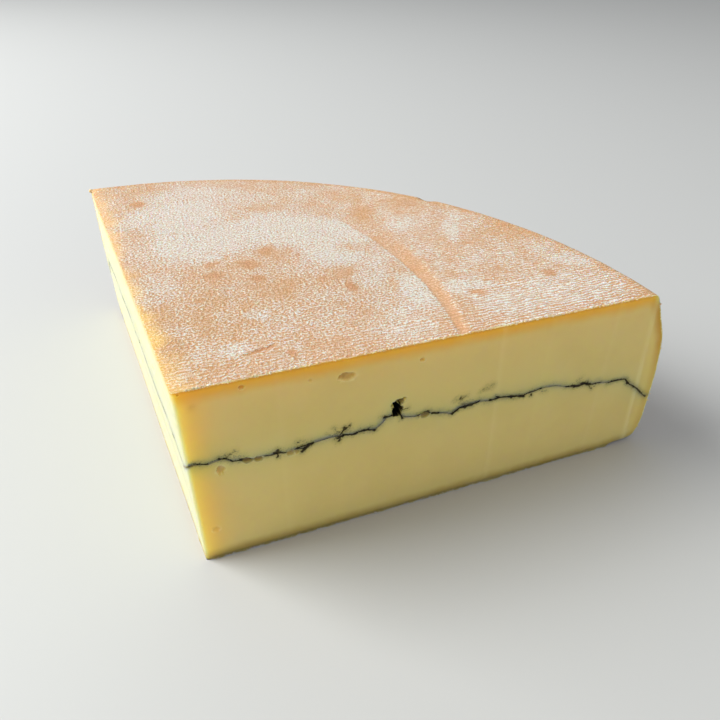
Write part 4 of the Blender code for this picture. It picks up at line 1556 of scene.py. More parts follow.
@dataclass
class Crumbs:
    """Crumbs that the knife tore off: lumps along the edges of the front cut and on the heel's edge.

    Attributes:
        form: Form of the wheel.
        seed: Fixes the random places and shapes.
        top_count: Crumbs tried along the front's upper edge, before clustering takes some out.
        top_span: From where to where they lie along the cut.
        top_sizes: Their smallest and largest radius.
        foot_count: Crumbs tried along the front's lower edge.
        foot_span: From where to where they lie along the cut.
        foot_sizes: Their smallest and largest radius.
        heel_count: Crumbs where the front cut meets the heel.
        heel_span: From what height to what height they lie.
        heel_sizes: Their smallest and largest radius.
        chip_sizes: Radii of two chips on the heel's edge and one at the far corner of the rim.
    """

    form: WheelForm
    seed: int = 11
    top_count: int = 420
    top_span: tuple[float, float] = (1.5, 156.5)
    top_sizes: tuple[float, float] = (0.12, 0.36)
    foot_count: int = 200
    foot_span: tuple[float, float] = (4.0, 157.0)
    foot_sizes: tuple[float, float] = (0.12, 0.32)
    heel_count: int = 26
    heel_span: tuple[float, float] = (6.0, 69.0)
    heel_sizes: tuple[float, float] = (0.12, 0.26)
    chip_sizes: tuple[float, float, float] = (0.75, 0.45, 0.9)

    def lumps(self, spots: Array, sizes: Array, random: np.random.Generator) -> tuple[Array, Array]:
        """Lumps at spots: a ball of 42 points, stretched, turned and dented by noise, once for each spot.

        Args:
            spots: Middles of the lumps.
            sizes: Their radii.
            random: Source of the random numbers.

        Returns:
            Points and three-sided faces of all lumps.
        """
        bm = bmesh.new()
        bmesh.ops.create_icosphere(bm, subdivisions=2, radius=1.0)
        ball = np.array([vert.co for vert in bm.verts])
        sides = np.array([[vert.index for vert in face.verts] for face in bm.faces])
        bm.free()
        count = len(spots)
        stretch = random.uniform(0.55, 1.25, (count, 1, 3))
        turns = random.uniform(0.0, 2.0 * math.pi, count)[:, None]
        shift = random.uniform(0.0, 50.0, (count, 1))
        dents = 1.0 + 0.35 * lattice_noise(ball[:, 0] * 1.7 + shift, ball[:, 1] * 1.7, ball[:, 2] * 1.7, 7)
        points = ball[None] * dents[..., None] * stretch * sizes[:, None, None]
        cos, sin = np.cos(turns), np.sin(turns)
        x = points[..., 0] * cos - points[..., 1] * sin
        y = points[..., 0] * sin + points[..., 1] * cos
        points = np.stack([x, y, points[..., 2]], axis=-1) + spots[:, None]
        faces = sides[None] + (np.arange(count) * len(ball))[:, None, None]
        return points.reshape(-1, 3), faces.reshape(-1, 3)

    def clustered(self, random: np.random.Generator, places: Array, cell: float, seed: int) -> Array:
        """Leaves out places by chance, mostly where slow noise is low, which makes loose clusters.

        Args:
            random: Source of the random numbers.
            places: Distances along the cut.
            cell: Size of the clusters.
            seed: Chooses another noise.

        Returns:
            The places that stay.
        """
        return places[lattice_noise(places / cell, 0.0, 0.0, seed) > random.uniform(-0.9, 0.9, len(places))]

    def top_edge(self, random: np.random.Generator) -> tuple[Array, Array]:
        """Spots and sizes along the front's upper edge, in loose clusters."""
        x = self.clustered(random, random.uniform(*self.top_span, self.top_count), 7.0, 3)
        y = random.normal(0.02, 0.14, len(x))
        z = self.form.height - 0.26 - 0.10 * np.abs(random.normal(size=len(x)))
        return np.stack([x, y, z], axis=1), random.uniform(*self.top_sizes, len(x))

    def foot_edge(self, random: np.random.Generator) -> tuple[Array, Array]:
        """Spots and sizes along the front's lower edge, each resting on the base's level."""
        x = self.clustered(random, random.uniform(*self.foot_span, self.foot_count), 9.0, 4)
        sizes = random.uniform(*self.foot_sizes, len(x))
        y = -0.4 * sizes - np.abs(random.normal(0.0, 0.12, len(x)))
        return np.stack([x, y, 1.25 * sizes + 0.02], axis=1), sizes

    def heel_edge(self, random: np.random.Generator) -> tuple[Array, Array]:
        """Spots and sizes where the front cut meets the heel, with the chips at the rim's corners."""
        count = self.heel_count
        z = random.uniform(*self.heel_span, count)
        x = self.form.heel_radius(z, np.zeros(count)) - 0.1
        spots = np.stack([x, random.uniform(0.4, 1.2, count), z], axis=1)
        sizes = random.uniform(*self.heel_sizes, count)
        angle = self.form.cut_angle
        far = self.form.top_radius - 0.4
        chips = [
            (self.form.heel_radius(66.6, 0.0) - 0.1, 0.35, 66.6),
            (self.form.heel_radius(68.0, 0.0) - 0.2, 0.45, 68.2),
            (far * math.cos(angle) - 0.1, far * math.sin(angle), self.form.height - 0.7),
        ]
        return np.vstack([spots, chips]), np.concatenate([sizes, self.chip_sizes])

    def build(self, place: Placement, paste: Material, rind: Material) -> list[Object]:
        """Builds the crumbs of rind and of paste.

        Args:
            place: Moves the points into the frame.
            paste: Finish of the paste's crumbs.
            rind: Finish of the rind's crumbs.

        Returns:
            The two pieces.
        """
        random = np.random.default_rng(self.seed)
        kinds = {
            "rind_crumbs": ([self.top_edge(random), self.heel_edge(random)], rind),
            "paste_crumbs": ([self.foot_edge(random)], paste),
        }
        pieces = []
        for name, (groups, material) in kinds.items():
            spots = np.vstack([group[0] for group in groups])
            sizes = np.concatenate([group[1] for group in groups])
            points, faces = self.lumps(spots, sizes, random)
            obj = mesh_object(name, points, faces, place, [material])
            obj.data.shade_smooth()
            pieces.append(obj)
        return pieces


class NodeSketch:
    """Adds shader nodes to a tree by short calls that give back sockets."""

    def __init__(self, tree: NodeTree) -> None:
        """Starts on an empty tree."""
        self.tree = tree
        tree.nodes.clear()

    def node(self, kind: str, inputs: dict | None = None, **settings: object) -> bpy.types.Node:
        """Adds a node, sets its properties, and fills or links its inputs.

        Args:
            kind: Node type.
            inputs: Values or sockets by input name or number.
            settings: Properties of the node.

        Returns:
            The node.
        """
        node = self.tree.nodes.new(kind)
        for key, value in settings.items():
            setattr(node, key, value)
        for key, value in (inputs or {}).items():
            if isinstance(value, Socket):
                self.tree.links.new(value, node.inputs[key])
            else:
                node.inputs[key].default_value = value
        return node

    def math(self, operation: str, *values: float | Socket) -> Socket:
        """Math node on one, two or three values."""
        return self.node("ShaderNodeMath", dict(enumerate(values)), operation=operation).outputs[0]

    def times(self, first: float | Socket, second: float | Socket) -> Socket:
        """Product of two values."""
        return self.math("MULTIPLY", first, second)

    def plus(self, first: float | Socket, second: float | Socket) -> Socket:
        """Sum of two values."""
        return self.math("ADD", first, second)

    def minus(self, first: float | Socket, second: float | Socket) -> Socket:
        """First value less the second."""
        return self.math("SUBTRACT", first, second)

    def least(self, first: float | Socket, second: float | Socket) -> Socket:
        """Smaller one of two values."""
        return self.math("MINIMUM", first, second)

    def scaled(self, value: Socket, factor: float | Socket, offset: float | Socket) -> Socket:
        """The value times a factor, plus an offset."""
        return self.math("MULTIPLY_ADD", value, factor, offset)

    def wave(self, value: Socket) -> Socket:
        """Sine of the value, brought to go from 0 to 1."""
        return self.scaled(self.math("SINE", value), 0.5, 0.5)

    def step(self, value: Socket, low: float, high: float, start: float = 0.0, end: float = 1.0) -> Socket:
        """Even S from start at low to end at high."""
        inputs = {"Value": value, "From Min": low, "From Max": high, "To Min": start, "To Max": end}
        node = self.node("ShaderNodeMapRange", inputs, interpolation_type="SMOOTHSTEP", clamp=True)
        return node.outputs[0]

    def fall(self, value: Socket, low: float, high: float) -> Socket:
        """Even S from 1 at low down to 0 at high."""
        return self.step(value, low, high, 1.0, 0.0)

    def blend(self, factor: float | Socket, first: object, second: object) -> Socket:
        """First colour at factor 0, and second at 1."""
        node = self.node("ShaderNodeMix", {0: factor, 6: first, 7: second}, data_type="RGBA")
        return node.outputs[2]

    def layers(self, paint: object, *coats: tuple[float | Socket, object]) -> Socket:
        """The paint with coats over it, each a share and a colour."""
        for share, tone in coats:
            paint = self.blend(share, paint, tone)
        return paint

    def noise(self, vector: Socket, scale: float | Socket, detail: float = 3.0, rough: float = 0.5) -> Socket:
        """Noise from 0 to 1, about a half. Scale is in cells per millimetre."""
        inputs = {"Vector": vector, "Scale": scale, "Detail": detail, "Roughness": rough}
        return self.node("ShaderNodeTexNoise", inputs).outputs["Fac"]

    def attribute(self, name: str, share: float = 1.0) -> Socket:
        """The number that the mesh stores under this name, or a share of it."""
        value = self.node("ShaderNodeAttribute", attribute_name=name).outputs["Fac"]
        return value if share == 1.0 else self.times(value, share)

    def millimetres(self) -> Socket:
        """Object coordinates in millimetres."""
        coords = self.node("ShaderNodeTexCoord").outputs["Object"]
        scale = {0: coords, "Scale": 1.0 / MM}
        return self.node("ShaderNodeVectorMath", scale, operation="SCALE").outputs[0]

    def stretched(self, vector: Socket, x: float, y: float, z: float) -> Socket:
        """The vector with each part multiplied."""
        values = {0: vector, 1: (x, y, z)}
        return self.node("ShaderNodeVectorMath", values, operation="MULTIPLY").outputs[0]

    def group(self, tree: NodeTree, inputs: dict[str, object]) -> Socket:
        """Output of a node group with these inputs."""
        return self.node("ShaderNodeGroup", inputs, node_tree=tree).outputs[0]

    def bump(self, height: Socket, strength: float, distance: float) -> Socket:
        """Normal bent by a height from 0 to 1, which stands for a distance in millimetres."""
        inputs = {"Height": height, "Strength": strength, "Distance": distance * MM}
        return self.node("ShaderNodeBump", inputs).outputs[0]

    def finish(self, inputs: dict[str, object]) -> None:
        """Adds the shader with these inputs, and the material's output."""
        shader = self.node("ShaderNodeBsdfPrincipled", inputs)
        self.node("ShaderNodeOutputMaterial", {"Surface": shader.outputs[0]})


def new_material(name: str) -> tuple[Material, NodeSketch]:
    """A material with an empty node tree, and the sketch that fills it."""
    material = bpy.data.materials.new(name)
    material.use_nodes = True
    return material, NodeSketch(material.node_tree)


def colour(red: int, green: int, blue: int) -> Colour:
    """Linear colour of a display colour given from 0 to 255."""
    shares = [value / 255.0 for value in (red, green, blue)]
    linear = [s / 12.92 if s <= 0.04045 else ((s + 0.055) / 1.055) ** 2.4 for s in shares]
    return (*linear, 1.0)


def new_group(
    name: str, inputs: dict[str, tuple[str, object]], outputs: dict[str, str]
) -> tuple[NodeSketch, bpy.types.Node, bpy.types.Node]:
    """Node group with named sockets.

    Args:
        name: Name of the group.
        inputs: Socket kind and default by input name.
        outputs: Socket kind by output name.

    Returns:
        The group's sketch, its input node and its output node.
    """
    tree = bpy.data.node_groups.new(name, "ShaderNodeTree")
    for label, (kind, value) in inputs.items():
        socket = tree.interface.new_socket(label, in_out="INPUT", socket_type=kind)
        if value is not None:
            socket.default_value = value
    for label, kind in outputs.items():
        tree.interface.new_socket(label, in_out="OUTPUT", socket_type=kind)
    sketch = NodeSketch(tree)
    return sketch, sketch.node("NodeGroupInput"), sketch.node("NodeGroupOutput")


@dataclass(frozen=True)
class Scatter:
    """Light that goes in and comes out again nearby.

    Attributes:
        weight: Share of the light that does.
        radii: How far red, green and blue go, over the scale.
        scale: Distance that a radius of 1 stands for, in metres.
    """

    weight: float
    radii: tuple[float, float, float]
    scale: float

    def inputs(self) -> dict[str, object]:
        """The shader's inputs for it."""
        values = (self.weight, self.radii, self.scale)
        return {f"Subsurface {name}": value for name, value in zip(("Weight", "Radius", "Scale"), values)}


@dataclass(frozen=True)
class MottleGroup:
    """Slow cloudy change of a colour, used by paste, rind and crumbs."""

    name: str = "cheese_mottle"

    def build(self) -> NodeTree:
        """Group that blends a colour towards a tint by noise of a given cell size.

        Returns:
            The group, with inputs Vector, Colour, Tint, Scale and Amount, and output Colour.
        """
        grey = (0.5, 0.5, 0.5, 1.0)
        sketch, source, target = new_group(
            self.name,
            {
                "Vector": ("NodeSocketVector", None),
                "Colour": ("NodeSocketColor", grey),
                "Tint": ("NodeSocketColor", grey),
                "Scale": ("NodeSocketFloat", 0.1),
                "Amount": ("NodeSocketFloat", 0.5),
            },
            {"Colour": "NodeSocketColor"},
        )
        noise = sketch.noise(source.outputs["Vector"], source.outputs["Scale"], 4.0)
        share = sketch.times(sketch.step(noise, 0.35, 0.68), source.outputs["Amount"])
        mixed = sketch.blend(share, source.outputs["Colour"], source.outputs["Tint"])
        sketch.tree.links.new(mixed, target.inputs["Colour"])
        return sketch.tree


@dataclass(frozen=True)
class ClothGroup:
    """Print of the cheese cloth: small bumps, and where it is woven, short wavy threads.

    Attributes:
        name: Name of the group.
        period: Distance between threads, in millimetres.
        cross_period: Length of a thread between two crossings.
        bumps: Bumps per millimetre.
    """

    name: str = "cloth_print"
    period: float = 1.3
    cross_period: float = 1.9
    bumps: float = 1.5

    def build(self) -> NodeTree:
        """Group that puts out the height of the print, from 0 in its valleys to 1 on its crests.

        The threads are sines across the cloth, pushed about by noise, and broken where the cross threads
        pass over them. The bumps are noise that is a little longer along the threads.

        Returns:
            The group, with inputs Vector in millimetres and Weave from 0 to 1, and output Height.
        """
        sketch, source, target = new_group(
            self.name,
            {"Vector": ("NodeSocketVector", None), "Weave": ("NodeSocketFloat", 0.5)},
            {"Height": "NodeSocketFloat"},
        )
        vector = source.outputs["Vector"]
        parts = sketch.node("ShaderNodeSeparateXYZ", {0: vector})
        slow = sketch.noise(sketch.stretched(vector, 0.6, 1.0, 1.0), 0.22, 2.0)
        quick = sketch.noise(sketch.stretched(vector, 0.5, 1.0, 1.0), 0.8, 2.0)
        push = sketch.scaled(slow, 15.0, sketch.times(quick, 9.0))
        across = sketch.scaled(parts.outputs["Y"], 2.0 * math.pi / self.period, push)
        thread = sketch.wave(across)
        other = sketch.times(sketch.noise(vector, 0.6, 2.0), 22.0)
        along = sketch.scaled(parts.outputs["X"], 2.0 * math.pi / self.cross_period, other)
        cross = sketch.wave(along)
        broken = sketch.times(thread, sketch.scaled(cross, 0.65, 0.45))
        broken = sketch.step(broken, 0.10, 0.80)
        bumps = sketch.noise(sketch.stretched(vector, 0.8, 1.0, 1.0), self.bumps, 3.0, 0.6)
        bumps = sketch.step(bumps, 0.37, 0.63)
        weave = source.outputs["Weave"]
        plain = sketch.times(bumps, sketch.minus(1.0, weave))
        height = sketch.scaled(broken, weave, plain)
        sketch.tree.links.new(height, target.inputs["Height"])
        return sketch.tree


@dataclass(frozen=True)
class RindFinish:
    """Washed rind: pink and orange skin under white bloom that stands on the crests of the cloth's print.

    The paint has painted shade in the print's valleys and a painted lighter tone on its crests.

    Attributes:
        mottle: Cloudy change of a colour.
        cloth: Print of the cloth.
        rind_map: Where the hoop's band runs.
        form: Form of the wheel.
        tip: Where the frame has the wheel's middle, in metres.
        skin: Skin between the bloom.
        warm: Skin where it is warmer.
        band: Skin in the hoop's band.
        spot_and_crease_shade: Skin in the small bare spots, and painted shade in the fold's hollow.
        thin_bloom: Bloom where it is thin.
        bloom: Bloom where it is thick.
        crest: Bloom on the crests of the print.
        tip_fringe: Thin rim of rind along the other cut, near the tip.
        far_fringe: The same rim far from the tip.
        ledge_cover: Bloom that the hoop's ledge has more.
        band_cover: Bloom that the hoop's band has more, below zero as it has less.
        pore_cover: Bloom that the pores have more, in the same way.
        most_cover: Most that the bloom covers.
        relief: Height of the print, in millimetres.
        scatter: Light below the surface.
    """

    mottle: NodeTree
    cloth: NodeTree
    rind_map: RindMap
    form: WheelForm
    tip: tuple[float, float, float]
    skin: Colour = colour(231, 175, 131)
    warm: Colour = colour(230, 172, 118)
    band: Colour = colour(228, 174, 130)
    spot_and_crease_shade: Colour = colour(222, 160, 116)
    thin_bloom: Colour = colour(246, 223, 198)
    bloom: Colour = colour(250, 243, 230)
    crest: Colour = colour(255, 251, 241)
    tip_fringe: Colour = colour(250, 204, 118)
    far_fringe: Colour = colour(242, 192, 130)
    ledge_cover: float = 0.25
    band_cover: float = -0.32
    pore_cover: float = -0.50
    most_cover: float = 0.96
    relief: float = 0.7
    scatter: Scatter = Scatter(0.35, (1.0, 0.5, 0.25), 0.0025)

    def past_circle(self, sketch: NodeSketch, wheel: Socket, circle: tuple[float, float, float]) -> Socket:
        """Distance past a circle about the wheel's axis, in millimetres.

        Args:
            sketch: The material's nodes.
            wheel: Coordinates about the wheel's middle, with z at 0.
            circle: The circle, as (x, y, radius).

        Returns:
            The distance, below zero inside.
        """
        middle = (circle[0], circle[1], 0.0)
        away = sketch.node("ShaderNodeVectorMath", {0: wheel, 1: middle}, operation="DISTANCE")
        return sketch.minus(away.outputs["Value"], circle[2])

    def hoop_masks(self, sketch: NodeSketch, wheel: Socket, z: Socket, y: Socket) -> tuple[Socket, Socket]:
        """The smooth band between the hoop's circles, and the white ledge on its tip side.

        Args:
            sketch: The material's nodes.
            wheel: Coordinates about the wheel's middle, with z at 0.
            z: Height above the base.
            y: Distance in from the front cut.

        Returns:
            Band and ledge, from 0 to 1.
        """
        inner = self.past_circle(sketch, wheel, self.rind_map.hoop_inner)
        outer = self.past_circle(sketch, wheel, self.rind_map.hoop_outer)
        wobble = sketch.scaled(sketch.noise(wheel, 0.5, 3.0), 1.6, -0.8)
        inner = sketch.plus(inner, wobble)
        outer = sketch.scaled(wobble, 1.6, outer)
        top = sketch.step(z, self.form.height - 2.5, self.form.height - 1.0)
        fade = sketch.times(top, sketch.fall(y, 34.0, 96.0))
        band = sketch.times(sketch.step(inner, -0.7, 0.7), sketch.fall(outer, -2.0, 1.0))
        ledge = sketch.times(sketch.step(inner, -2.2, -0.7), sketch.fall(inner, -0.5, 0.1))
        return sketch.times(band, fade), sketch.times(ledge, fade)

    def build(self) -> Material:
        """The material."""
        material, sketch = new_material("rind")
        place = sketch.millimetres()
        tip = tuple(-value / MM for value in self.tip)
        wheel = sketch.node("ShaderNodeVectorMath", {0: place, 1: tip}, operation="ADD").outputs[0]
        parts = sketch.node("ShaderNodeSeparateXYZ", {0: wheel})
        flat = sketch.stretched(wheel, 1.0, 1.0, 0.0)
        band, ledge = self.hoop_masks(sketch, flat, parts.outputs["Z"], parts.outputs["Y"])
        skin_map = sketch.node("ShaderNodeUVMap", uv_map="print").outputs[0]
        skin_map = sketch.stretched(skin_map, PRINT_UNIT, PRINT_UNIT, PRINT_UNIT)
        weave = sketch.attribute("weave")
        cloth = {"Vector": skin_map, "Weave": weave}
        height = sketch.group(self.cloth, cloth)
        fine = sketch.step(sketch.noise(place, 3.0, 2.0, 0.6), 0.34, 0.66)
        height = sketch.scaled(fine, 0.28, sketch.times(height, 0.72))
        cloudy = sketch.scaled(sketch.noise(place, 0.30, 3.0), 0.50, -0.25)
        cover = sketch.plus(sketch.attribute("bloom"), cloudy)
        cover = sketch.scaled(ledge, self.ledge_cover, cover)
        cover = sketch.scaled(band, self.band_cover, cover)
        cover = sketch.least(cover, self.most_cover)
        pores = sketch.step(sketch.noise(place, 0.95, 3.0, 0.6), 0.60, 0.68)
        cover = sketch.scaled(pores, self.pore_cover, cover)
        raised = sketch.scaled(height, 2.3, -1.15)
        raised = sketch.times(raised, sketch.step(cover, 0.0, 0.5, 0.4, 1.0))
        amount = sketch.node("ShaderNodeClamp", {0: sketch.plus(cover, raised)}).outputs[0]
        warm = sketch.scaled(cloudy, 0.6, sketch.attribute("warm"))
        skin = sketch.blend(sketch.step(warm, 0.05, 0.85), self.skin, self.warm)
        skin = sketch.blend(sketch.times(band, 0.8), skin, self.band)
        mottle = {"Vector": place, "Colour": skin, "Tint": self.warm, "Scale": 0.16, "Amount": 0.35}
        skin = sketch.group(self.mottle, mottle)
        # Darker skin in the bare spots, and painted shade in the fold's hollow.
        skin = sketch.blend(sketch.attribute("spot_and_crease_shade", 0.6), skin, self.spot_and_crease_shade)
        thick = sketch.step(cover, 0.22, 0.70)
        paint = sketch.blend(amount, skin, sketch.blend(thick, self.thin_bloom, self.bloom))
        crest = sketch.times(sketch.step(height, 0.62, 0.90), sketch.step(cover, 0.18, 0.66))
        paint = sketch.blend(sketch.times(crest, 0.9), paint, self.crest)
        edge = sketch.blend(sketch.step(parts.outputs["Y"], 30.0, 108.0), self.tip_fringe, self.far_fringe)
        thin = sketch.times(sketch.attribute("fringe"), sketch.scaled(height, -0.5, 1.05))
        paint = sketch.blend(thin, paint, edge)
        # Painted shade and highlight: the paint is darkened in the print's valleys and lightened on its
        # crests, as light would fall on the relief.
        shade = sketch.scaled(height, 0.36, 0.83)
        paint = sketch.node("ShaderNodeVectorMath", {0: paint, "Scale": shade}, operation="SCALE").outputs[0]
        relief = sketch.times(height, sketch.scaled(band, -0.45, 1.0))
        relief = sketch.times(relief, sketch.scaled(sketch.attribute("fringe"), -0.6, 1.0))
        bump = sketch.bump(relief, 1.0, self.relief)
        sketch.finish(
            {
                "Base Color": paint,
                "Roughness": 0.80,
                "Specular IOR Level": 0.3,
                "Normal": bump,
                **self.scatter.inputs(),
            }
        )
        return material


@dataclass(frozen=True)
class PasteFinish:
    """Cut paste: smooth yellow, amber under the rind, smeared with ash near it, with painted shade in the
    eyes.

    Painted light also gives a glow near the tip, a lit tone on the other cut, part of the amber under the
    top, and highlights on the facet's hinge, the eyes' lower rims and the foot; part of the darker paste at
    the base is painted shade.

    Attributes:
        mottle: Cloudy change of a colour.
        height: Height of the wheel, in millimetres.
        paste: The paste.
        cloud: What it clouds towards.
        gold: Painted glow near the tip on the front cut, standing in for light that comes through the paste
            from the lit other cut.
        amber_and_rind_glow: Paste under the top, partly its own amber and partly a painted glow of light
            coming through the rind.
        heel: Paste under the heel.
        base: Paste under the base's rind, darker partly as painted shade at the foot.
        under_skin: Thin line right under the top's skin.
        crust_and_foot_highlight: Cut edge of the rind, and a painted highlight on the lip along the foot.
        painted_lit_cut: Paste of the other cut, paler and greener as painted light from the lamp that lights
            that cut.
        facet: The facet at the heel.
        pale: The lighter stripes past the knife's marks, the painted highlight along the facet's hinge and
            the painted highlight on the eyes' lower rims.
        haze: Thin ash.
        ink: Thick ash.
        pit_shade: Painted shade inside the eyes; a golden spot and a band at the tip's corner take the same
            colour.
        soot: Ash in the pocket.
        scatter: Light below the surface.
    """

    mottle: NodeTree
    height: float
    paste: Colour = colour(236, 213, 136)
    cloud: Colour = colour(231, 207, 129)
    gold: Colour = colour(246, 211, 96)
    amber_and_rind_glow: Colour = colour(235, 185, 74)
    heel: Colour = colour(204, 148, 58)
    base: Colour = colour(204, 166, 86)
    under_skin: Colour = colour(200, 134, 52)
    crust_and_foot_highlight: Colour = colour(250, 236, 206)
    painted_lit_cut: Colour = colour(210, 208, 166)
    facet: Colour = colour(236, 210, 118)
    pale: Colour = colour(250, 232, 164)
    haze: Colour = colour(148, 140, 80)
    ink: Colour = colour(40, 31, 8)
    pit_shade: Colour = colour(186, 138, 34)
    soot: Colour = colour(14, 14, 12)
    scatter: Scatter = Scatter(1.0, (1.0, 0.80, 0.18), 0.011)

    def build(self) -> Material:
        """The material."""
        material, sketch = new_material("paste")
        place = sketch.millimetres()
        paint = self.under_rind(sketch, place)
        paint = self.cut_marks(sketch, place, paint)
        knife = sketch.noise(sketch.stretched(place, 1.0, 1.0, 0.06), 0.7, 4.0, 0.6)
        bump = sketch.bump(knife, 0.25, 0.12)
        rough = sketch.scaled(sketch.noise(place, 0.3, 3.0), 0.12, 0.38)
        sketch.finish(
            {
                "Base Color": paint,
                "Roughness": rough,
                "Specular IOR Level": 0.10,
                "Normal": bump,
                **self.scatter.inputs(),
            }
        )
        return material

    def under_rind(self, sketch: NodeSketch, place: Socket) -> Socket:
        """Yellow paste, turning amber under the top, the heel and the base, with the rind's thin cut edge.

        A painted glow lies near the tip and a painted lit tone on the other cut; part of the amber under the
        top is a painted glow through the rind, part of the darker base painted shade, and the crust along the
        foot a painted highlight.

        Args:
            sketch: The material's nodes.
            place: Object coordinates in millimetres.

        Returns:
            The colour.
        """
        z = sketch.node("ShaderNodeSeparateXYZ", {0: place}).outputs["Z"]
        uneven = sketch.scaled(sketch.noise(place, 0.12, 3.0), 3.0, -1.5)
        under_top = sketch.minus(self.height - 0.25, z)
        heel_depth = sketch.attribute("heel_depth")
        mottle = {"Vector": place, "Colour": self.paste, "Tint": self.cloud, "Scale": 0.05, "Amount": 0.6}
        paint = sketch.group(self.mottle, mottle)
        heel_mask = sketch.fall(sketch.scaled(uneven, 0.6, heel_depth), 0.6, 5.4)
        heel_mask = sketch.times(heel_mask, sketch.step(z, 26.0, 54.0, 0.45, 1.0))
        # Darker towards the base: partly the paste's own colour under the rind, partly painted shade at the
        # foot.
        base_tone_and_shade_mask = sketch.fall(sketch.plus(z, uneven), 0.4, 5.5)
        # Amber under the top: partly the paste's own colour, partly a painted glow of light through the rind.
        amber_and_rind_glow_mask = sketch.fall(sketch.plus(under_top, uneven), 1.2, 6.4)
        amber_and_rind_glow_mask = sketch.times(amber_and_rind_glow_mask, sketch.scaled(sketch.attribute("painted_lit_cut"), -0.5, 1.0))
        ragged = sketch.scaled(sketch.noise(place, 1.3, 3.0, 0.6), 1.3, -0.65)
        skin_depth = sketch.least(sketch.least(under_top, heel_depth), z)
        skin_mask = sketch.fall(sketch.scaled(ragged, 0.6, under_top), 0.2, 1.6)
        # The rind's cut edge, and along the foot a painted highlight on the lip that sticks out there.
        crust_and_foot_highlight_mask = sketch.fall(sketch.plus(skin_depth, ragged), 0.2, 0.6)
        flaky = sketch.step(sketch.noise(place, 0.28, 2.0), 0.42, 0.60, 0.28, 0.88)
        return sketch.layers(
            paint,
            (sketch.attribute("facet", 0.5), self.facet),
            # Painted glow near the tip.
            (sketch.attribute("near_tip", 0.6), self.gold),
            # Painted light on the other cut.
            (sketch.attribute("painted_lit_cut"), self.painted_lit_cut),
            (heel_mask, self.heel),
            # Darker paste at the base, partly painted shade at the foot.
            (base_tone_and_shade_mask, self.base),
            # Amber under the top, partly a painted glow through the rind.
            (amber_and_rind_glow_mask, self.amber_and_rind_glow),
            (sketch.times(skin_mask, 0.85), self.under_skin),
            # Rind's cut edge, with a painted highlight along the foot.
            (sketch.times(crust_and_foot_highlight_mask, flaky), self.crust_and_foot_highlight),
        )

    def cut_marks(self, sketch: NodeSketch, place: Socket, paint: Socket) -> Socket:
        """Adds the knife's pale stripes, the smeared ash with its halo, and the eyes.

        Args:
            sketch: The material's nodes.
            place: Object coordinates in millimetres.
            paint: Colour so far.

        Returns:
            The colour with all of them.
        """
        grain = sketch.noise(place, 2.2, 3.0, 0.6)
        haze = sketch.times(sketch.attribute("ash_haze"), sketch.scaled(grain, 1.2, 0.4))
        specks = sketch.step(grain, 0.55, 0.68)
        ink = sketch.scaled(grain, 0.8, sketch.attribute("ash_ink"))
        return sketch.layers(
            paint,
            # Lighter stripes past the knife's marks, and the painted highlight along the facet's hinge.
            (sketch.attribute("pale", 0.42), self.pale),
            (haze, self.haze),
            (sketch.times(specks, haze), self.ink),
            (sketch.step(ink, 0.52, 1.15, 0.0, 0.97), self.ink),
            # Painted highlight on the eyes' lower rims.
            (sketch.attribute("lip", 0.6), self.pale),
            # Painted shade inside the eyes, with the golden spot and the tip's corner band in the same
            # colour.
            (sketch.attribute("pit_shade_and_marks", 0.75), self.pit_shade),
            (sketch.attribute("soot"), self.soot),
        )


@dataclass(frozen=True)
class AshFinish:
    """Ash: brown-black and quite matt, clouded towards a lighter grey-brown."""

    dark: Colour = colour(24, 20, 12)
    grey: Colour = colour(72, 64, 44)

    def build(self) -> Material:
        """The material."""
        material, sketch = new_material("ash")
        place = sketch.millimetres()
        grain = sketch.step(sketch.noise(place, 0.8, 4.0, 0.6), 0.35, 0.75)
        paint = sketch.blend(grain, self.dark, self.grey)
        bump = sketch.bump(grain, 0.5, 0.1)
        sketch.finish({"Base Color": paint, "Roughness": 0.8, "Specular IOR Level": 0.04, "Normal": bump})
        return material


@dataclass(frozen=True)
class CrumbFinish:
    """Crumbs: a plain body colour that clouds towards a tint from crumb to crumb.

    Attributes:
        name: Name of the material.
        body: Colour of most crumbs.
        tint: Colour of some.
        mottle: Cloudy change of a colour.
        scatter: Light below the surface.
    """

    name: str
    body: Colour
    tint: Colour
    mottle: NodeTree
    scatter: Scatter = Scatter(0.5, (1.0, 0.6, 0.3), 0.001)

    def build(self) -> Material:
        """The material."""
        material, sketch = new_material(self.name)
        place = sketch.millimetres()
        mottle = {"Vector": place, "Colour": self.body, "Tint": self.tint, "Scale": 0.6, "Amount": 0.9}
        paint = sketch.group(self.mottle, mottle)
        grain = sketch.noise(place, 4.0, 2.0, 0.6)
        bump = sketch.bump(grain, 0.6, 0.1)
        sketch.finish(
            {
                "Base Color": paint,
                "Roughness": 0.75,
                "Specular IOR Level": 0.3,
                "Normal": bump,
                **self.scatter.inputs(),
            }
        )
        return material


@dataclass(frozen=True)
class FloorFinish:
    """Plain pale floor."""

    tone: Colour = colour(198, 198, 196)
    roughness: float = 0.6

    def build(self) -> Material:
        """The material."""
        material, sketch = new_material("floor")
        sketch.finish({"Base Color": self.tone, "Roughness": self.roughness})
        return material


@dataclass(frozen=True)
class Lamp:
    """A square soft light.

    Attributes:
        name: Name of the light.
        offset: Its place from where it looks, in metres.
        size: Side of the square, in metres.
        power: Power, in watts.
        tint: Its colour.
    """

    name: str
    offset: tuple[float, float, float]
    size: float
    power: float
    tint: tuple[float, float, float]

    def build(self, target: Vector) -> None:
        """Adds the light, looking at the target."""
        data = bpy.data.lights.new(self.name, "AREA")
        data.size = self.size
        data.energy = self.power
        data.color = self.tint
        light = add_object(self.name, data)
        offset = Vector(self.offset)
        light.location = target + offset
        light.rotation_euler = (-offset).to_track_quat("-Z", "Y").to_euler()


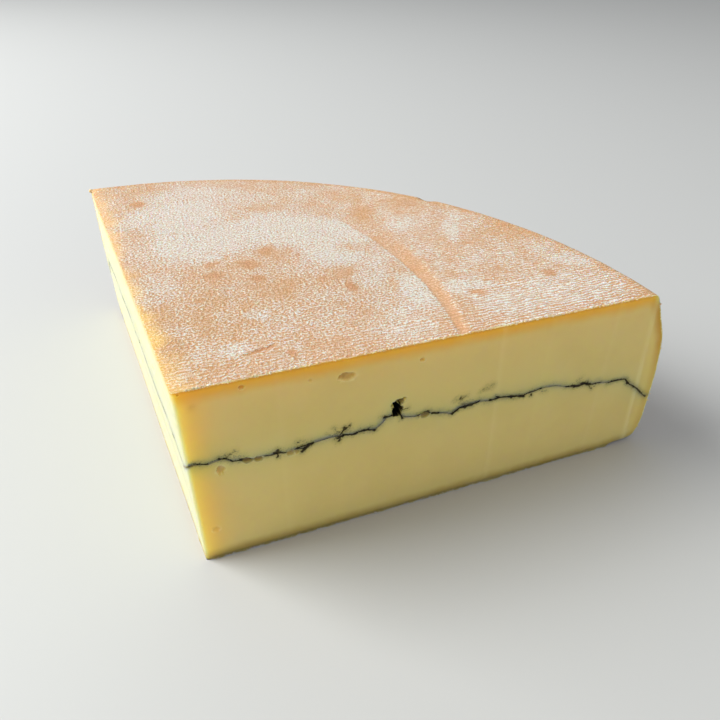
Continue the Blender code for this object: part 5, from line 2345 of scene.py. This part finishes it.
@dataclass
class Studio:
    """Pale floor, soft lights and the camera at the photograph's angle.

    The camera's values come from a fit to the wedge's edges: place in millimetres about the wheel's middle,
    turn to the right of +Y, tilt below the level and roll, in degrees, and the focal length for a sensor
    36 mm wide. The lamps look at the target, in metres in the frame.
    """

    place: Placement
    camera_at: tuple[float, float, float] = (2.7, -126.6, 169.4)
    yaw: float = 21.37
    pitch: float = 36.37
    roll: float = 1.46
    lens: float = 29.65
    floor_radius: float = 6.0
    world_strength: float = 0.46
    world_tint: Colour = (0.96, 0.98, 1.0, 1.0)
    target: tuple[float, float, float] = (0.0, 0.0, 0.035)
    lamps: tuple[Lamp, ...] = (
        Lamp("key", (-1.5, 0.66, 1.30), 1.3, 62.0, (0.98, 1.0, 1.0)),
        Lamp("front", (0.75, -1.35, 0.45), 1.2, 1.2, (1.0, 1.0, 0.98)),
    )

    def build(self) -> None:
        """Builds floor, lights, world and camera."""
        self.add_floor()
        self.add_camera()
        self.add_world()
        for lamp in self.lamps:
            lamp.build(Vector(self.target))

    def add_floor(self) -> None:
        """A wide flat disc at the height of the base."""
        mesh = bpy.data.meshes.new("floor")
        sides = 64
        angles = np.arange(sides) * 2.0 * math.pi / sides
        points = np.stack([np.cos(angles), np.sin(angles), 0.0 * angles], axis=1) * self.floor_radius
        mesh.from_pydata(points.tolist(), [], [list(range(sides))])
        mesh.materials.append(FloorFinish().build())
        add_object("floor", mesh)

    def add_world(self) -> None:
        """Even pale surroundings."""
        world = bpy.data.worlds.new("studio")
        bpy.context.scene.world = world
        world.use_nodes = True
        background = world.node_tree.nodes["Background"]
        background.inputs["Color"].default_value = self.world_tint
        background.inputs["Strength"].default_value = self.world_strength

    def add_camera(self) -> None:
        """Camera at the fitted place, turned by yaw, pitch and roll."""
        yaw, pitch, roll = (math.radians(value) for value in (self.yaw, self.pitch, self.roll))
        forward = Vector(
            (math.sin(yaw) * math.cos(pitch), math.cos(yaw) * math.cos(pitch), -math.sin(pitch))
        )
        level = Vector((math.cos(yaw), -math.sin(yaw), 0.0))
        upward = level.cross(forward)
        right = level * math.cos(roll) + upward * math.sin(roll)
        up = upward * math.cos(roll) - level * math.sin(roll)
        data = bpy.data.cameras.new("camera")
        data.lens = self.lens
        data.sensor_width = 36.0
        data.clip_start = 0.01
        camera = add_object("camera", data)
        place = Matrix((right, up, -forward)).transposed().to_4x4()
        place.translation = Vector(self.place.to_frame(np.array(self.camera_at)))
        camera.matrix_world = place
        bpy.context.scene.camera = camera


def as_piece(obj: Object, node: str | None = None) -> None:
    """Puts a piece on the wedge's one body and lets it stand for a CAD node.

    Args:
        obj: The piece.
        node: The CAD node that it replaces, if any.
    """
    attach(obj, "root")
    if node:
        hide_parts(node)
    LOG.info("%s: %d vertices, %d faces", obj.name, len(obj.data.vertices), len(obj.data.polygons))


def main() -> None:
    logging.basicConfig(level=logging.INFO, format="%(name)s %(message)s")
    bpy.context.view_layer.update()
    bpy.context.scene.view_settings.view_transform = "Standard"
    place = Placement.from_frame("lower_half")
    form = WheelForm()
    ash = AshForm()
    knife = KnifeForm(form.cut_angle, form.height)
    rind_map = RindMap()
    mottle = MottleGroup().build()
    cloth = ClothGroup().build()
    paste = PasteFinish(mottle, form.height).build()
    rind = RindFinish(mottle, cloth, rind_map, form, place.tip).build()
    for half, node in ((Half.LOWER, "lower_half"), (Half.UPPER, "upper_half")):
        as_piece(CurdHalf(half, form, ash, knife, rind_map).build(place, [paste, rind]), node)
    as_piece(AshLayer(form, ash, knife).build(place, [AshFinish().build()]), "ash_layer")
    pale_crumb = CrumbFinish("rind_crumb", colour(240, 216, 174), colour(224, 176, 116), mottle).build()
    paste_crumb = CrumbFinish("paste_crumb", colour(236, 212, 146), colour(214, 172, 96), mottle).build()
    rind_crumbs, paste_crumbs = Crumbs(form).build(place, paste_crumb, pale_crumb)
    as_piece(rind_crumbs)
    as_piece(paste_crumbs)
    Studio(place).build()


if __name__ == "__main__":
    main()
